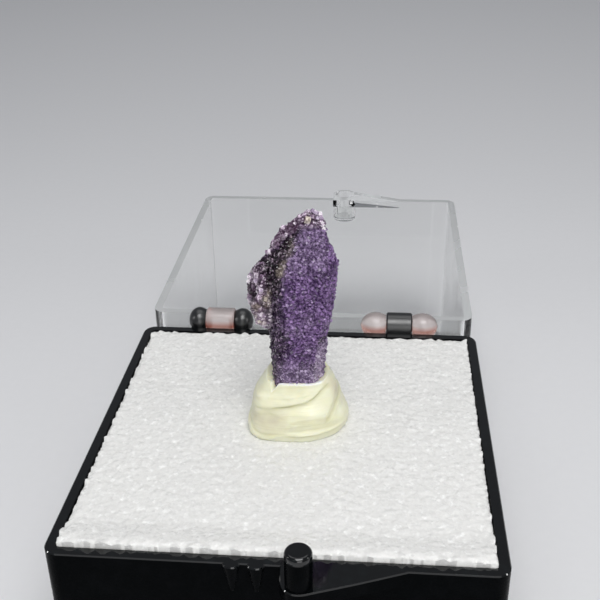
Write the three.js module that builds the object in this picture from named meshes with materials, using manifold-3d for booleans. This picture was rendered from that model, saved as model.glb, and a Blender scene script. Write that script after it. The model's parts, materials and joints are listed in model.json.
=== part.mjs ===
// A quartz point grown over with fine purple fluorite, held by a lump of putty on the foam of a
// small hinged display box. The box stands open, with its clear lid swung right back and lying flat.
// Millimetres, +Z up. The origin is the centre of the box's underside, the thumb tab and the catch
// post face -Y and the hinge is at +Y. Heights named "above the rim" are measured from the top edge
// of the black base.
import * as THREE from 'three';
import { mergeVertices } from 'three/addons/utils/BufferGeometryUtils.js';
import Module from 'manifold-3d';

const wasm = await Module();
wasm.setup();

// ---- driving dimensions ----

const box = { side: 31.75, wall: 0.78, floor: 1.0, corner: 1.1, innerCorner: 0.35, height: 19.6 };
const lid = { height: 19.6, roof: 0.9 };
const hinge = {
  offset: 1.4,          // axis behind the back face
  rise: 0.1,            // axis above the base's rim
  rimGap: 0.15,         // between the two rims when the box is shut
  radius: 1.25,
  spacing: 8.69,        // centre of the box to the centre of each group of knuckles
  clearance: 0.05,      // between neighbouring knuckles
  arm: 1.3,             // height of the arm that carries a knuckle
  armShare: { barrel: 0.86, ball: 0.62 },       // arm's width over the knuckle's
  ballShape: { flat: 0.8, widest: 0.4 },        // inner face over the radius, widest place over the width
  pip: { radius: 0.45, length: 0.45, play: 0.08 },
};
const leftKnuckles = { barrel: 2.75, ball: 1.75 };    // barrel on the lid, balls on the base
const rightKnuckles = { barrel: 2.45, ball: 2.45 };   // barrel on the base, balls on the lid
// The thumb tab in plan: steep on its left, round at its tip, and a long straight slope back to the
// wall on its right.
const tab = {
  thickness: 1.1,
  outline: [[0.52, -15.87], [0.56, -16.7], [0.66, -17.2], [0.79, -17.62], [0.98, -17.99], [1.25, -18.25],
    [1.59, -18.41], [1.95, -18.45], [2.38, -18.37], [2.95, -18.17], [5.6, -17.22], [9.1, -15.87]],
};
const post = {
  x: 1.93, y: -17.36, radius: 0.93, top: 2.81, sunk: 0.6,
  dome: 0.3, crown: 0.66,    // height of the head's rounding, radius of its flat top
  head: 0.5, groove: 0.05,   // height of the head, depth of the groove below it
  play: 0.16,
};
const socket = { boss: 1.42, height: 3.15, depth: 2.85 };
const ribs = { centres: [-2.76, -1.08], width: 1.2, length: 2.4, standOut: 0.43, tip: 0.3 };
const foam = { fit: 0.06, bed: 0.1 };
const putty = { centre: [0.31, 1.6], sunk: 0.25, top: 4.4, fit: 0.05 };
const foot = { bottom: 0.9, fit: 0.07, smoothTo: 4.9 };   // the part of the point that the putty grips

const half = box.side / 2;
const rim = box.height;
const axisY = half + hinge.offset;
const axisZ = rim + hinge.rise;

// ---- materials ----

const finish = (name, color, roughness, options = {}) =>
  Object.assign(new THREE.MeshStandardMaterial({ color, roughness, metalness: 0, ...options }), { name });

const blackPlastic = finish('black_plastic', '#1c2021', 0.25);
const whiteFoam = finish('white_foam', '#e3e3e1', 0.9);
const cloudyPutty = finish('cloudy_putty', '#edecd0', 0.5);
const purpleFluorite = finish('purple_fluorite', '#665178', 0.45);
const clearPlastic = finish('clear_plastic', '#e9ecec', 0.08, { transparent: true, opacity: 0.3 });

// ---- helpers ----

// Small repeatable random numbers in 0..1.
function seededRandom(seed) {
  let state = seed;
  return () => {
    state = (state + 0x6d2b79f5) | 0;
    let mixed = Math.imul(state ^ (state >>> 15), 1 | state);
    mixed = (mixed + Math.imul(mixed ^ (mixed >>> 7), 61 | mixed)) ^ mixed;
    return ((mixed ^ (mixed >>> 14)) >>> 0) / 4294967296;
  };
}

function solidOf(geometry) {
  const bare = geometry.clone();
  for (const name of Object.keys(bare.attributes)) {
    if (name !== 'position') bare.deleteAttribute(name);
  }
  const merged = mergeVertices(bare, 1e-4);
  return new wasm.Manifold(new wasm.Mesh({
    numProp: 3,
    vertProperties: new Float32Array(merged.attributes.position.array),
    triVerts: new Uint32Array(merged.index.array),
  }));
}

function geometryOf(solid) {
  const mesh = solid.getMesh();
  const geometry = new THREE.BufferGeometry();
  geometry.setAttribute('position', new THREE.BufferAttribute(new Float32Array(mesh.vertProperties), 3));
  geometry.setIndex(new THREE.BufferAttribute(new Uint32Array(mesh.triVerts), 1));
  return geometry;
}

const joined = (first, ...others) => others.reduce((whole, piece) => whole.add(piece), first);
const cut = (first, ...others) => others.reduce((whole, piece) => whole.subtract(piece), first);

// A block between two corners.
function block(low, high) {
  const size = high.map((value, axis) => value - low[axis]);
  const middle = high.map((value, axis) => (value + low[axis]) / 2);
  return solidOf(new THREE.BoxGeometry(...size).translate(...middle));
}

// A square outline with rounded corners.
function roundedSquare(side, radius) {
  const edge = side / 2;
  const inner = edge - radius;
  const shape = new THREE.Shape();
  shape.absarc(inner, inner, radius, 0, Math.PI / 2);
  shape.absarc(-inner, inner, radius, Math.PI / 2, Math.PI);
  shape.absarc(-inner, -inner, radius, Math.PI, 1.5 * Math.PI);
  shape.absarc(inner, -inner, radius, 1.5 * Math.PI, 2 * Math.PI);
  return shape;
}

function prism(shape, bottom, top, curveSegments = 5) {
  const depth = top - bottom;
  const geometry = new THREE.ExtrudeGeometry(shape, { depth, bevelEnabled: false, curveSegments });
  return solidOf(geometry.translate(0, 0, bottom));
}

// A closed skin over rings of points that all have the same number of points, listed bottom to top
// and anticlockwise seen from above.
function loft(rings) {
  const count = rings[0].length;
  const points = rings.flat();
  const faces = [];
  for (let row = 0; row + 1 < rings.length; row += 1) {
    for (let column = 0; column < count; column += 1) {
      const next = (column + 1) % count;
      const a = row * count + column;
      const b = row * count + next;
      faces.push(a, b, b + count, a, b + count, a + count);
    }
  }
  const closeWith = (ring, start, upward) => {
    const centre = ring.reduce((sum, point) => sum.add(point), new THREE.Vector3()).divideScalar(count);
    const tip = points.push(centre) - 1;
    for (let column = 0; column < count; column += 1) {
      const here = start + column;
      const next = start + (column + 1) % count;
      faces.push(tip, upward ? here : next, upward ? next : here);
    }
  };
  closeWith(rings[0], 0, false);
  closeWith(rings[rings.length - 1], (rings.length - 1) * count, true);
  const geometry = new THREE.BufferGeometry().setFromPoints(points);
  geometry.setIndex(faces);
  return geometry;
}

// Straight-line reading of a hand-set profile [[height, value], ...].
function along(profile, height) {
  if (height <= profile[0][0]) return profile[0][1];
  for (let step = 1; step < profile.length; step += 1) {
    const [below, from] = profile[step - 1];
    const [above, to] = profile[step];
    if (height <= above) return from + (to - from) * (height - below) / (above - below);
  }
  return profile[profile.length - 1][1];
}

// ---- hinge knuckles ----

// A solid turned about the X axis from a profile [[x, radius], ...] that starts and ends at radius 0.
function turned(profile, segments = 15) {
  const points = profile.map(([x, radius]) => new THREE.Vector2(radius, x));
  return solidOf(new THREE.LatheGeometry(points, segments).rotateZ(-Math.PI / 2));
}

// A ball with a flat inner face at x = 0 that reaches out to x = width, times side.
function ballKnuckle(width, side) {
  const steps = 5;
  const { widest } = hinge.ballShape;
  const flat = hinge.ballShape.flat * hinge.radius;
  const profile = [[0, 0], [0, flat]];
  for (let step = 1; step <= steps; step += 1) {
    const share = step / steps;
    const x = width * share;
    const rounded = Math.sqrt(Math.max(0, 1 - ((share - widest) / (1 - widest)) ** 2));
    const swelling = Math.sin(Math.min(1, share / widest) * Math.PI / 2);
    const radius = share < widest ? flat + (hinge.radius - flat) * swelling : hinge.radius * rounded;
    profile.push([x, step === steps ? 0 : radius]);
  }
  const mirrored = side > 0 ? profile : profile.map(([x, radius]) => [-x, radius]).reverse();
  return turned(mirrored);
}

function barrelKnuckle(width) {
  const end = width / 2;
  const bevel = 0.12;
  const radius = hinge.radius;
  const profile = [[-end, 0], [-end, radius - bevel], [-end + bevel, radius]];
  return turned([...profile, [end - bevel, radius], [end, radius - bevel], [end, 0]]);
}

// A plain round pin between two places along X.
function pin(from, to, radius) {
  const [low, high] = [Math.min(from, to), Math.max(from, to)];
  return turned([[low, 0], [low, radius], [high, radius], [high, 0]], 14);
}

// Knuckles of one group around x = 0 with the axis along X. The pips on the balls turn in wells in the
// barrel's ends.
function knuckleGroup({ barrel, ball }) {
  const end = barrel / 2;
  const face = end + hinge.clearance;
  const { radius, length, play } = hinge.pip;
  const sides = [-1, 1];
  const ballAndPip = (side) => joined(
    ballKnuckle(ball, side).translate([side * face, 0, 0]),
    pin(side * (end - length), side * (face + radius), radius),
  );
  return {
    barrel: barrelKnuckle(barrel),
    wells: sides.map((side) => pin(side * (end - length - play), side * (face + play), radius + play)),
    balls: sides.map(ballAndPip),
    ballMiddle: face + hinge.ballShape.widest * ball,
    barrelArm: barrel * hinge.armShare.barrel,
    ballArm: ball * hinge.armShare.ball,
  };
}

// The arm that joins a knuckle to the base's back wall. `middle` and `width` are along X.
function arm(middle, width) {
  const low = [middle - width / 2, half - box.wall / 2, rim - hinge.arm];
  return block(low, [middle + width / 2, axisY, rim]);
}

// What turns half a turn about the hinge's axis goes from the shut box to the open one.
const openLid = (solid) =>
  solid.translate([0, -axisY, -axisZ]).rotate([180, 0, 0]).translate([0, axisY, axisZ]);

// An arm on the lid is the base's arm seen in the rims' mid-plane.
const lidArm = (middle, width) =>
  block([middle - width / 2, half - box.wall / 2, rim + hinge.rimGap],
    [middle + width / 2, axisY, rim + hinge.rimGap + hinge.arm]);

const groups = [
  { centre: -hinge.spacing, baseHasBarrel: false, ...knuckleGroup(leftKnuckles) },
  { centre: hinge.spacing, baseHasBarrel: true, ...knuckleGroup(rightKnuckles) },
];

function knucklesFor(onBase) {
  const makeArm = onBase ? arm : lidArm;
  return groups.flatMap(({ centre, baseHasBarrel, barrel, wells, balls, ballMiddle, barrelArm, ballArm }) => {
    const place = (solid) => solid.translate([centre, axisY, axisZ]);
    if (baseHasBarrel === onBase) {
      return [cut(joined(place(barrel), makeArm(centre, barrelArm)), ...wells.map(place))];
    }
    return balls.map((ball, index) => {
      const side = index === 0 ? -1 : 1;
      return joined(place(ball), makeArm(centre + side * ballMiddle, ballArm));
    });
  });
}

// ---- black base ----

// The tab runs a little way into the wall.
function tabOutline() {
  const insideWall = -half + box.wall / 2;
  const [left, right] = [tab.outline[0][0], tab.outline[tab.outline.length - 1][0]];
  const places = [[left, insideWall], ...tab.outline, [right, insideWall]];
  return new THREE.Shape(places.map(([x, y]) => new THREE.Vector2(x, y)));
}

// A grip rib on the front wall: flush with the rim at its top, and narrower and lower towards its foot.
function gripRib(x) {
  const radius = ribs.width / 2;
  const cone = new THREE.CylinderGeometry(radius, ribs.tip * radius, ribs.length, 14).rotateX(Math.PI / 2);
  return solidOf(cone.scale(1, ribs.standOut / radius, 1).translate(x, -half, rim - ribs.length / 2));
}

// The catch: a round post that stands on the tab, with a fine groove below its rounded head.
function catchPost() {
  const { radius, top, sunk, dome, crown, head, groove } = post;
  const [neck, below] = [radius - groove, top - head];
  const shoulder = [0, 1 / 3, 2 / 3, 1].map((share) => share * Math.PI / 2).map((turn) =>
    [crown + (radius - crown) * Math.cos(turn), top - dome * (1 - Math.sin(turn))]);
  const profile = [[0, -sunk], [radius, -sunk], [radius, below - groove], [neck, below],
    [neck, below + groove], [radius, below + 2 * groove], ...shoulder, [0, top]];
  const points = profile.map(([r, z]) => new THREE.Vector2(r, z));
  return solidOf(new THREE.LatheGeometry(points, 16).rotateX(Math.PI / 2).translate(post.x, post.y, rim));
}

function boxBase() {
  const outer = joined(prism(roundedSquare(box.side, box.corner), 0, rim), ...ribs.centres.map(gripRib));
  const inside = prism(roundedSquare(box.side - 2 * box.wall, box.innerCorner), box.floor, rim + 1, 3);
  const thumbTab = prism(tabOutline(), rim - tab.thickness, rim);
  return joined(cut(outer, inside), thumbTab, catchPost(), ...knucklesFor(true));
}

// ---- clear lid, made shut and then opened ----

function clearLid() {
  const bottom = rim + hinge.rimGap;
  const top = bottom + lid.height;
  const insideSide = box.side - 2 * box.wall;
  const outer = prism(roundedSquare(box.side, box.corner), bottom, top);
  const inside = prism(roundedSquare(insideSide, box.innerCorner), bottom - 1, top - lid.roof, 3);
  const thumbTab = prism(tabOutline(), bottom, bottom + tab.thickness);
  // A cup on the tab goes over the post.
  const upright = (radius, height, middle) => solidOf(new THREE.CylinderGeometry(radius, radius, height, 16)
    .rotateX(Math.PI / 2).translate(post.x, post.y, middle));
  const boss = upright(socket.boss, socket.height, bottom + socket.height / 2);
  const reach = socket.depth + 1;
  const well = upright(post.radius + post.play, reach, bottom + socket.depth - reach / 2);
  return openLid(cut(joined(cut(outer, inside), thumbTab, boss, ...knucklesFor(false)), well));
}

// ---- the quartz point ----

// Heights above the rim. The point is six-sided, wider at mid-height than at its foot, and its tip
// leans to the right because one termination face, on the left, is much larger than the others.
const point = {
  ridge: [[0.9, -1.2], [4.2, -1.29], [8.0, -0.96], [10.5, -0.8], [12.6, -0.99], [14.5, -0.65], [15.8, 0.04],
    [16.8, 0.58], [17.9, 1.5]],
  left: [[0.9, -1.5], [4.2, -1.62], [8.0, -1.8], [11.0, -2.4], [13.2, -2.8], [14.0, -2.55], [15.0, -1.85],
    [16.2, -1.27], [17.2, -0.22], [17.9, 0.55]],
  frontRight: [[0.9, 1.4], [4.2, 1.62], [6.5, 1.85], [8.4, 2.15], [10.0, 2.5], [12.0, 2.78], [15.0, 2.95],
    [16.6, 2.55], [17.9, 2.2]],
  right: [[0.9, 2.3], [4.4, 2.38], [8.4, 2.72], [10.1, 3.1], [13.4, 3.44], [14.4, 3.46], [15.4, 3.12],
    [16.6, 2.62], [17.9, 2.38]],
  front: [[0.9, -0.35], [12.0, -0.25], [15.0, 0.1], [17.9, 1.15]],
  rightDepth: [[0.9, 1.5], [8.4, 1.2], [12.0, 1.0], [17.9, 1.4]],
  leftDepth: [[0.9, 1.2], [12.0, 1.3], [17.9, 1.7]],
  back: [[0.9, 3.7], [8.0, 3.9], [12.2, 3.8], [14.0, 3.2], [16.0, 2.5], [17.9, 1.95]],
  backSlope: [[0.9, 0.28], [12.0, 0.28], [15.0, 0.4], [17.9, 0.45]],   // share of the width
  top: 17.9,
};

// Corners of the cross-section at a height, anticlockwise from the ridge. `spread` moves them outwards.
function sectionCorners(height, spread = 0) {
  const read = (name) => along(point[name], height);
  const backSlope = read('backSlope') * (read('right') - read('left'));
  const corners = [
    [read('ridge'), read('front')],
    [read('frontRight'), read('front') + 0.15],
    [read('right'), read('rightDepth')],
    [read('right') - backSlope, read('back')],
    [read('left') + backSlope, read('back')],
    [read('left'), read('leftDepth')],
  ].map(([x, y]) => new THREE.Vector2(x, y));
  const middle = corners.reduce((sum, corner) => sum.add(corner), new THREE.Vector2()).divideScalar(6);
  return corners.map((corner) => {
    const outward = corner.clone().sub(middle);
    return middle.clone().add(outward.setLength(outward.length() + spread));
  });
}

const facets = [9, 3, 4, 7, 4, 4];   // steps along each side of the section
const skin = { rows: 30, rough: 0.13, wander: 0.06, dip: 0.06 };   // how uneven the overgrowth is

function sectionRing(height, spread = 0, roughness = () => 0) {
  const corners = sectionCorners(height, spread);
  const middle = corners.reduce((sum, corner) => sum.add(corner), new THREE.Vector2()).divideScalar(6);
  return facets.flatMap((steps, side) => Array.from({ length: steps }, (_, step) => {
    const flat = corners[side].clone().lerp(corners[(side + 1) % 6], step / steps);
    const outward = flat.clone().sub(middle).normalize().multiplyScalar(roughness(height, side, step));
    return new THREE.Vector3(flat.x + outward.x, flat.y + outward.y, rim + height);
  }));
}

function roughPoint() {
  const random = seededRandom(11);
  // Below the putty's edge the skin only dips inwards, so that it stays clear of the putty.
  const roughness = (height) => (height < foot.smoothTo
    ? -skin.dip * random() : skin.rough * (2 * random() - 1));
  const rings = Array.from({ length: skin.rows + 1 }, (_, row) => {
    const height = foot.bottom + (point.top - foot.bottom) * row / skin.rows;
    const wander = row === 0 || row === skin.rows ? 0 : skin.wander * (2 * random() - 1);
    return sectionRing(height + wander, 0, roughness);
  });
  return solidOf(loft(rings));
}

// The side lump: an uneven shoulder of coarser crystals on the left of the point.
const lump = {
  left: [[8.9, -2.1], [9.3, -2.55], [9.9, -2.9], [10.6, -3.15], [12.6, -3.25], [13.2, -3.2], [13.7, -2.85],
    [14.2, -2.3]],
  right: [[8.9, -1.8], [9.5, -1.5], [11.0, -1.5], [13.0, -1.7], [14.2, -1.9]],
  front: [[8.9, 0.5], [9.6, 0.0], [10.8, -0.2], [12.6, -0.1], [14.2, 0.8]],
  back: [[8.9, 0.9], [10.0, 1.6], [12.8, 2.1], [14.2, 1.8]],
};

// A place on the lump's oval section; `grow` scales the section about its middle.
function lumpPlace(height, turn, grow = 1) {
  const sides = ['left', 'right', 'front', 'back'];
  const [left, right, front, back] = sides.map((name) => along(lump[name], height));
  return new THREE.Vector3(
    (left + right) / 2 + grow * (right - left) / 2 * Math.cos(turn),
    (front + back) / 2 + grow * (back - front) / 2 * Math.sin(turn),
    rim + height,
  );
}

function lumpSolid() {
  const random = seededRandom(5);
  const [bottom, top] = [lump.left[0][0], lump.left[lump.left.length - 1][0]];
  const [rows, steps] = [11, 16];
  const rings = Array.from({ length: rows + 1 }, (_, row) => Array.from({ length: steps }, (__, step) =>
    lumpPlace(bottom + (top - bottom) * row / rows, 2 * Math.PI * step / steps, 0.94 + 0.2 * random())));
  return solidOf(loft(rings));
}

// ---- fluorite crystals ----

// One cube, sunk into the skin with a corner or an edge outwards.
function fluoriteCube(place, size, random) {
  const cube = new THREE.BoxGeometry(size, size, size);
  const turn = new THREE.Euler(2 * Math.PI * random(), 2 * Math.PI * random(), 2 * Math.PI * random());
  const matrix = new THREE.Matrix4().makeRotationFromEuler(turn);
  matrix.setPosition(place.x, place.y, place.z);
  return solidOf(cube.applyMatrix4(matrix));
}

// Places on the point's skin. `side` counts round from the front face, `across` runs 0..1 along it.
function onPoint(height, side, across) {
  const corners = sectionCorners(height, -0.04);
  const flat = corners[side].clone().lerp(corners[(side + 1) % 6], across);
  return new THREE.Vector3(flat.x, flat.y, rim + height);
}

function fluoriteCrystals() {
  const random = seededRandom(29);
  const between = (low, high) => low + (high - low) * random();
  const crystals = [];
  // `place` gets a share, 0..1, that climbs evenly with some scatter, so a set never bunches up.
  const add = (count, size, place) => {
    for (let made = 0; made < count; made += 1) {
      const share = (made + random()) / count;
      crystals.push(fluoriteCube(place(share), between(size * 0.75, size * 1.25), random));
    }
  };
  const climb = (share, low, high) => low + (high - low) * share;
  // A few cubes stand out on each side of the point, coarser ones on the large termination face.
  add(11, 0.34, (share) => onPoint(climb(share, 5.2, 17.0), 0, between(0.04, 0.96)));
  add(4, 0.34, (share) => onPoint(climb(share, 5.4, 16.5), 1, between(0.1, 0.9)));
  add(4, 0.36, (share) => onPoint(climb(share, 5.4, 16.5), 2, random()));
  add(4, 0.36, (share) => onPoint(climb(share, 5.4, 16.5), 3, random()));
  add(4, 0.36, (share) => onPoint(climb(share, 5.4, 16.5), 4, random()));
  add(8, 0.42, (share) => onPoint(climb(share, 5.4, 13.0), 5, random()));
  add(17, 0.46, (share) => onPoint(climb(share, 13.4, 17.5), 5, random()));
  add(19, 0.52, (share) =>
    lumpPlace(climb(share, 9.2, 13.9), between(0.75 * Math.PI, 1.85 * Math.PI), 0.95));
  // The cluster on the summit.
  add(11, 0.68, (share) =>
    new THREE.Vector3(climb(share, 0.85, 2.15), between(1.3, 1.95), rim + climb(share, 17.4, 18.3)));
  return crystals;
}

function fluoriteOnQuartz() {
  return joined(roughPoint(), lumpSolid(), ...fluoriteCrystals());
}

// ---- putty ----

// How far the putty reaches on its four sides, [height above the rim, x or y]. The sides lean in
// towards the point, and the front left is squarer than the front right.
const puttyReach = {
  left: [[-0.25, -3.45], [0.1, -3.66], [0.7, -3.7], [1.3, -3.55], [2.1, -3.36], [2.9, -3.12], [3.6, -2.72],
    [4.2, -2.35], [4.6, -2.1]],
  right: [[-0.25, 4.15], [0.1, 4.36], [0.7, 4.4], [1.3, 4.2], [1.9, 3.85], [2.8, 3.62], [3.6, 3.3],
    [4.2, 2.9], [4.6, 2.65]],
  front: [[-0.25, -1.95], [0.1, -2.12], [0.7, -2.15], [1.3, -2.08], [2.1, -1.85], [2.9, -1.5], [3.6, -1.12],
    [4.2, -0.8], [4.6, -0.64]],
  back: [[-0.25, 5.1], [0.1, 5.25], [0.7, 5.3], [1.3, 5.2], [2.1, 5.0], [2.9, 4.75], [3.6, 4.5], [4.2, 4.3],
    [4.6, 4.15]],
};

// The main laps that were left when the putty was pressed round the foot: [turn in degrees, height]
// along the lap's edge. Above the edge the putty stands out, below it is drawn in.
const puttyLaps = [
  [[100, 2.6], [160, 2.2], [205, 2.1], [222, 2.5], [256, 2.85], [282, 3.05], [306, 3.5], [327, 4.1],
    [350, 4.3]],
  [[-45, 1.65], [-25, 2.0], [0, 2.4], [40, 2.7], [80, 2.5]],
  [[198, 0.5], [222, 0.7], [255, 0.6], [279, 0.65], [310, 0.8], [345, 0.6]],
];
const lap = { depth: 0.14, width: 0.5, fade: 15 };   // `fade` in degrees at each end of a lap

function puttyLap(turn, height) {
  const degrees = (turn * 180 / Math.PI + 360) % 360;
  return puttyLaps.reduce((total, edge) => {
    const [start, end] = [edge[0][0], edge[edge.length - 1][0]];
    const at = degrees > end && degrees - 360 >= start ? degrees - 360 : degrees;
    if (at < start || at > end) return total;
    const fade = Math.min(1, (at - start) / lap.fade, (end - at) / lap.fade);
    const above = height - along(edge, at);
    return total + fade * lap.depth * Math.sign(above) * Math.exp(-Math.abs(above) / lap.width);
  }, 0);
}

const puttyTop = (turn) => putty.top - 0.12 * Math.sin(turn);

// How square the putty's plan is: 2 is an oval, more is squarer.
const puttyPower = { back: 2.2, frontLeft: 4.0, frontRight: 2.0, frontRightGain: 0.8 };

function puttyRing(rise, spread = 0) {
  const steps = 30;
  const [centreX, centreY] = putty.centre;
  const { back, frontLeft, frontRight, frontRightGain } = puttyPower;
  return Array.from({ length: steps }, (_, step) => {
    const turn = 2 * Math.PI * step / steps;
    const [across, deep] = [Math.cos(turn), Math.sin(turn)];
    const height = -putty.sunk + rise * (puttyTop(turn) + putty.sunk);
    const reachX = Math.abs(along(puttyReach[across < 0 ? 'left' : 'right'], height) - centreX);
    const reachY = Math.abs(along(puttyReach[deep < 0 ? 'front' : 'back'], height) - centreY);
    const risen = Math.max(0, height) / putty.top;
    const frontPower = across < 0 ? frontLeft : frontRight + frontRightGain * risen;
    const power = deep > 0 ? back : frontPower;
    const oval = ((Math.abs(across) / reachX) ** power + (Math.abs(deep) / reachY) ** power) ** (-1 / power);
    const calm = Math.sin(Math.PI * Math.min(1, rise * 1.25 + 0.1));   // no laps at the foot and the lip
    const radius = oval + spread + puttyLap(turn, height) * calm;
    return new THREE.Vector3(centreX + radius * across, centreY + radius * deep, rim + height);
  });
}

function mountingPutty() {
  const rows = 13;
  const rings = Array.from({ length: rows + 1 }, (_, row) => puttyRing(row / rows));
  const middle = new THREE.Vector3(putty.centre[0], putty.centre[1], rim + 3);
  const innerLip = (place) => place.clone().lerp(middle, 0.35).add(new THREE.Vector3(0, 0, -0.05));
  rings.push(rings[rows].map(innerLip));
  const gripHeights = [foot.bottom - foot.fit, 2.5, foot.smoothTo + 1.5];
  const grip = gripHeights.map((height) => sectionRing(height, foot.fit));
  return cut(solidOf(loft(rings)), solidOf(loft(grip)));
}

// ---- foam ----

function foamInsert() {
  const side = box.side - 2 * box.wall - 2 * foam.fit;
  const slab = prism(roundedSquare(side, box.innerCorner), box.floor + foam.bed, rim, 3);
  const seatFloor = puttyRing(0, putty.fit).map((place) => place.clone().setZ(rim - putty.sunk - putty.fit));
  const seatMouth = puttyRing(0.1, putty.fit + 0.1).map((place) => place.clone().setZ(rim + 0.5));
  return cut(slab, solidOf(loft([seatFloor, seatMouth])));
}

// ---- the object ----

function named(name, solid, material) {
  const mesh = new THREE.Mesh(geometryOf(solid), material);
  mesh.name = name;
  return mesh;
}

const object = new THREE.Group();
object.add(
  named('box_base', boxBase(), blackPlastic),
  named('foam_insert', foamInsert(), whiteFoam),
  named('mounting_putty', mountingPutty(), cloudyPutty),
  named('fluorite_on_quartz', fluoriteOnQuartz(), purpleFluorite),
  named('clear_lid', clearLid(), clearPlastic),
);

export default object;
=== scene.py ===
"""Fluorite on a quartz point, held by putty in a small hinged display box.

Laid out as an add-on: each operator makes one piece around the loaded frame, in metres, and the
panel lists them in order. Heights in the profiles below are millimetres above the black base's rim.
"""
import json
import math
from itertools import product

import bmesh
import bpy
import numpy as np
from bpy.props import FloatProperty, FloatVectorProperty, IntProperty, PointerProperty
from mathutils import Matrix, Vector, noise


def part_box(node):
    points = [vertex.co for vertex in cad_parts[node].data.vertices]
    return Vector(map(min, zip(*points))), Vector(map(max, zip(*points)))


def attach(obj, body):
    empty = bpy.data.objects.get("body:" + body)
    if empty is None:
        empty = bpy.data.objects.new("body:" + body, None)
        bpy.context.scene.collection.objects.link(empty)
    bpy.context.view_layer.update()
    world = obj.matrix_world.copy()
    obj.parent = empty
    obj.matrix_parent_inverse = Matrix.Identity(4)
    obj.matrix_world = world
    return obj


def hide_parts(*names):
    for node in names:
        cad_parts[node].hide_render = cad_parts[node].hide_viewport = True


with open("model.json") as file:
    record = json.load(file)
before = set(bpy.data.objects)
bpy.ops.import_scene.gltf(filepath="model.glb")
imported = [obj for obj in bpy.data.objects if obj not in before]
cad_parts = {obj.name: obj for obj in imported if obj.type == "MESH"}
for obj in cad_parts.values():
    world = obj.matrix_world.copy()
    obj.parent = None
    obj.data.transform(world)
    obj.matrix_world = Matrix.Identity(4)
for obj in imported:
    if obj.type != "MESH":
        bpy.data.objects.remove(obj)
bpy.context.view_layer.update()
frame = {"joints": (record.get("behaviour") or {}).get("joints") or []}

bl_info = {
    "name": "Fluorite Display Box",
    "version": (1, 0, 0),
    "blender": (4, 5, 0),
    "location": "3D View > Sidebar > Mineral",
    "description": "Builds a fluorite on quartz specimen in its hinged display box",
    "category": "Add Mesh",
}

MM = 0.001

# From the frame, in metres: half the base's side, the foam's corners, the rim, which is level with the
# foam's top, and a point on the hinge's axis.
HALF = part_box("box_base")[1].x
FOAM_LOW, FOAM_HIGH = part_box("foam_insert")
RIM = FOAM_HIGH.z
AXIS = Vector(frame["joints"][0]["pos_m"])

# ---- sizes shared with the box's moulding, in millimetres ----

WALL, FLOOR, CORNER, INNER_CORNER = 0.78, 1.0, 1.1, 0.35
LID_HEIGHT, ROOF = 19.6, 0.9
RIM_GAP = 0.15
KNUCKLE_RADIUS = 1.25
KNUCKLE_SPACING = 8.69
KNUCKLE_GAP = 0.05
BARREL_BEVEL = 0.12
BALL_FLAT, BALL_WIDEST = 0.8, 0.4        # inner face over the radius, widest place over the width
ARM = 1.3
BARREL_ARM, BALL_ARM, BALL_ARM_MIDDLE = 0.86, 0.62, 0.42     # shares of the knuckle's width
PIP_RADIUS, PIP_LENGTH, PIP_PLAY = 0.45, 0.45, 0.08
LEFT_BARREL, LEFT_BALL = 2.75, 1.75      # barrel on the lid, balls on the base
RIGHT_BARREL, RIGHT_BALL = 2.45, 2.45    # barrel on the base, balls on the lid
POST_X, POST_Y, POST_RADIUS, POST_TOP, POST_SUNK = 1.93, -17.36, 0.93, 2.81, 0.6
POST_DOME, POST_CROWN = 0.3, 0.66        # height of the head's rounding, radius of its flat top
POST_HEAD, POST_GROOVE, POST_PLAY = 0.5, 0.05, 0.16
BOSS_RADIUS, BOSS_HEIGHT, SOCKET_DEPTH = 1.42, 3.15, 2.85
# The thumb tab in plan: steep on its left, round at its tip, and a straight slope back on its right.
TAB_THICKNESS = 1.1
TAB_TIP = -18.45
TAB_OUTLINE = [(0.52, -15.87), (0.56, -16.7), (0.66, -17.2), (0.79, -17.62), (0.98, -17.99), (1.25, -18.25),
               (1.59, -18.41), (1.95, TAB_TIP), (2.38, -18.37), (2.95, -18.17), (5.6, -17.22), (9.1, -15.87)]
TOP_CHAMFER = 0.08
RIB_CENTRES, RIB_WIDTH, RIB_LENGTH, RIB_STAND_OUT, RIB_TIP = (-2.76, -1.08), 1.2, 2.4, 0.43, 0.3


# ---- settings ----

def length(name, description, millimetres):
    return FloatProperty(
        name=name, description=description, default=millimetres * MM, unit="LENGTH", precision=5)


def tint(name, description, *default):
    return FloatVectorProperty(
        name=name, description=description, default=default, size=3, subtype="COLOR", min=0, max=1)


class BoxSettings(bpy.types.PropertyGroup):
    edge: length("Edge Radius", "Rounding of the moulded plastic's edges", 0.07)
    black: tint("Black", "Colour of the base's plastic", 0.0009, 0.0013, 0.0016)
    clear: tint("Clear", "Tint of the lid's plastic", 0.985, 0.99, 0.985)
    # The knuckles' pink underside is a painted warm reflection.
    knuckle: tint("Knuckle", "Tint of the underside of the lid's knuckles", 0.88, 0.36, 0.28)


class FoamSettings(bpy.types.PropertyGroup):
    step: length("Step", "Spacing of the foam surface's mesh", 0.108)
    relief: length("Relief", "Height of the fine bumps", 0.07)
    color: tint("Colour", "Colour of the foam", 0.765, 0.76, 0.737)


class PuttySettings(bpy.types.PropertyGroup):
    glow: length("Glow Depth", "How far light travels under the putty's surface", 1.0)
    color: tint("Colour", "Colour of the putty", 0.87, 0.86, 0.64)
    warm: tint("Warm Patches", "Colour of the warmer patches in the putty", 0.63, 0.58, 0.43)


class PointSettings(bpy.types.PropertyGroup):
    grain: length("Grain Size", "Edge of a small fluorite cube", 0.175)
    spacing: length("Grain Spacing", "Least distance between two grains", 0.094)
    crystal: length("Crystal Size", "Edge of a coarse fluorite cube", 0.34)
    seed: IntProperty(name="Seed", description="Seed of the grains' scatter", default=7)
    purple: tint("Purple", "Colour of the crust", 0.044, 0.019, 0.071)
    lilac: tint("Lilac", "Colour of the paler crust", 0.43, 0.295, 0.545)


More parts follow.
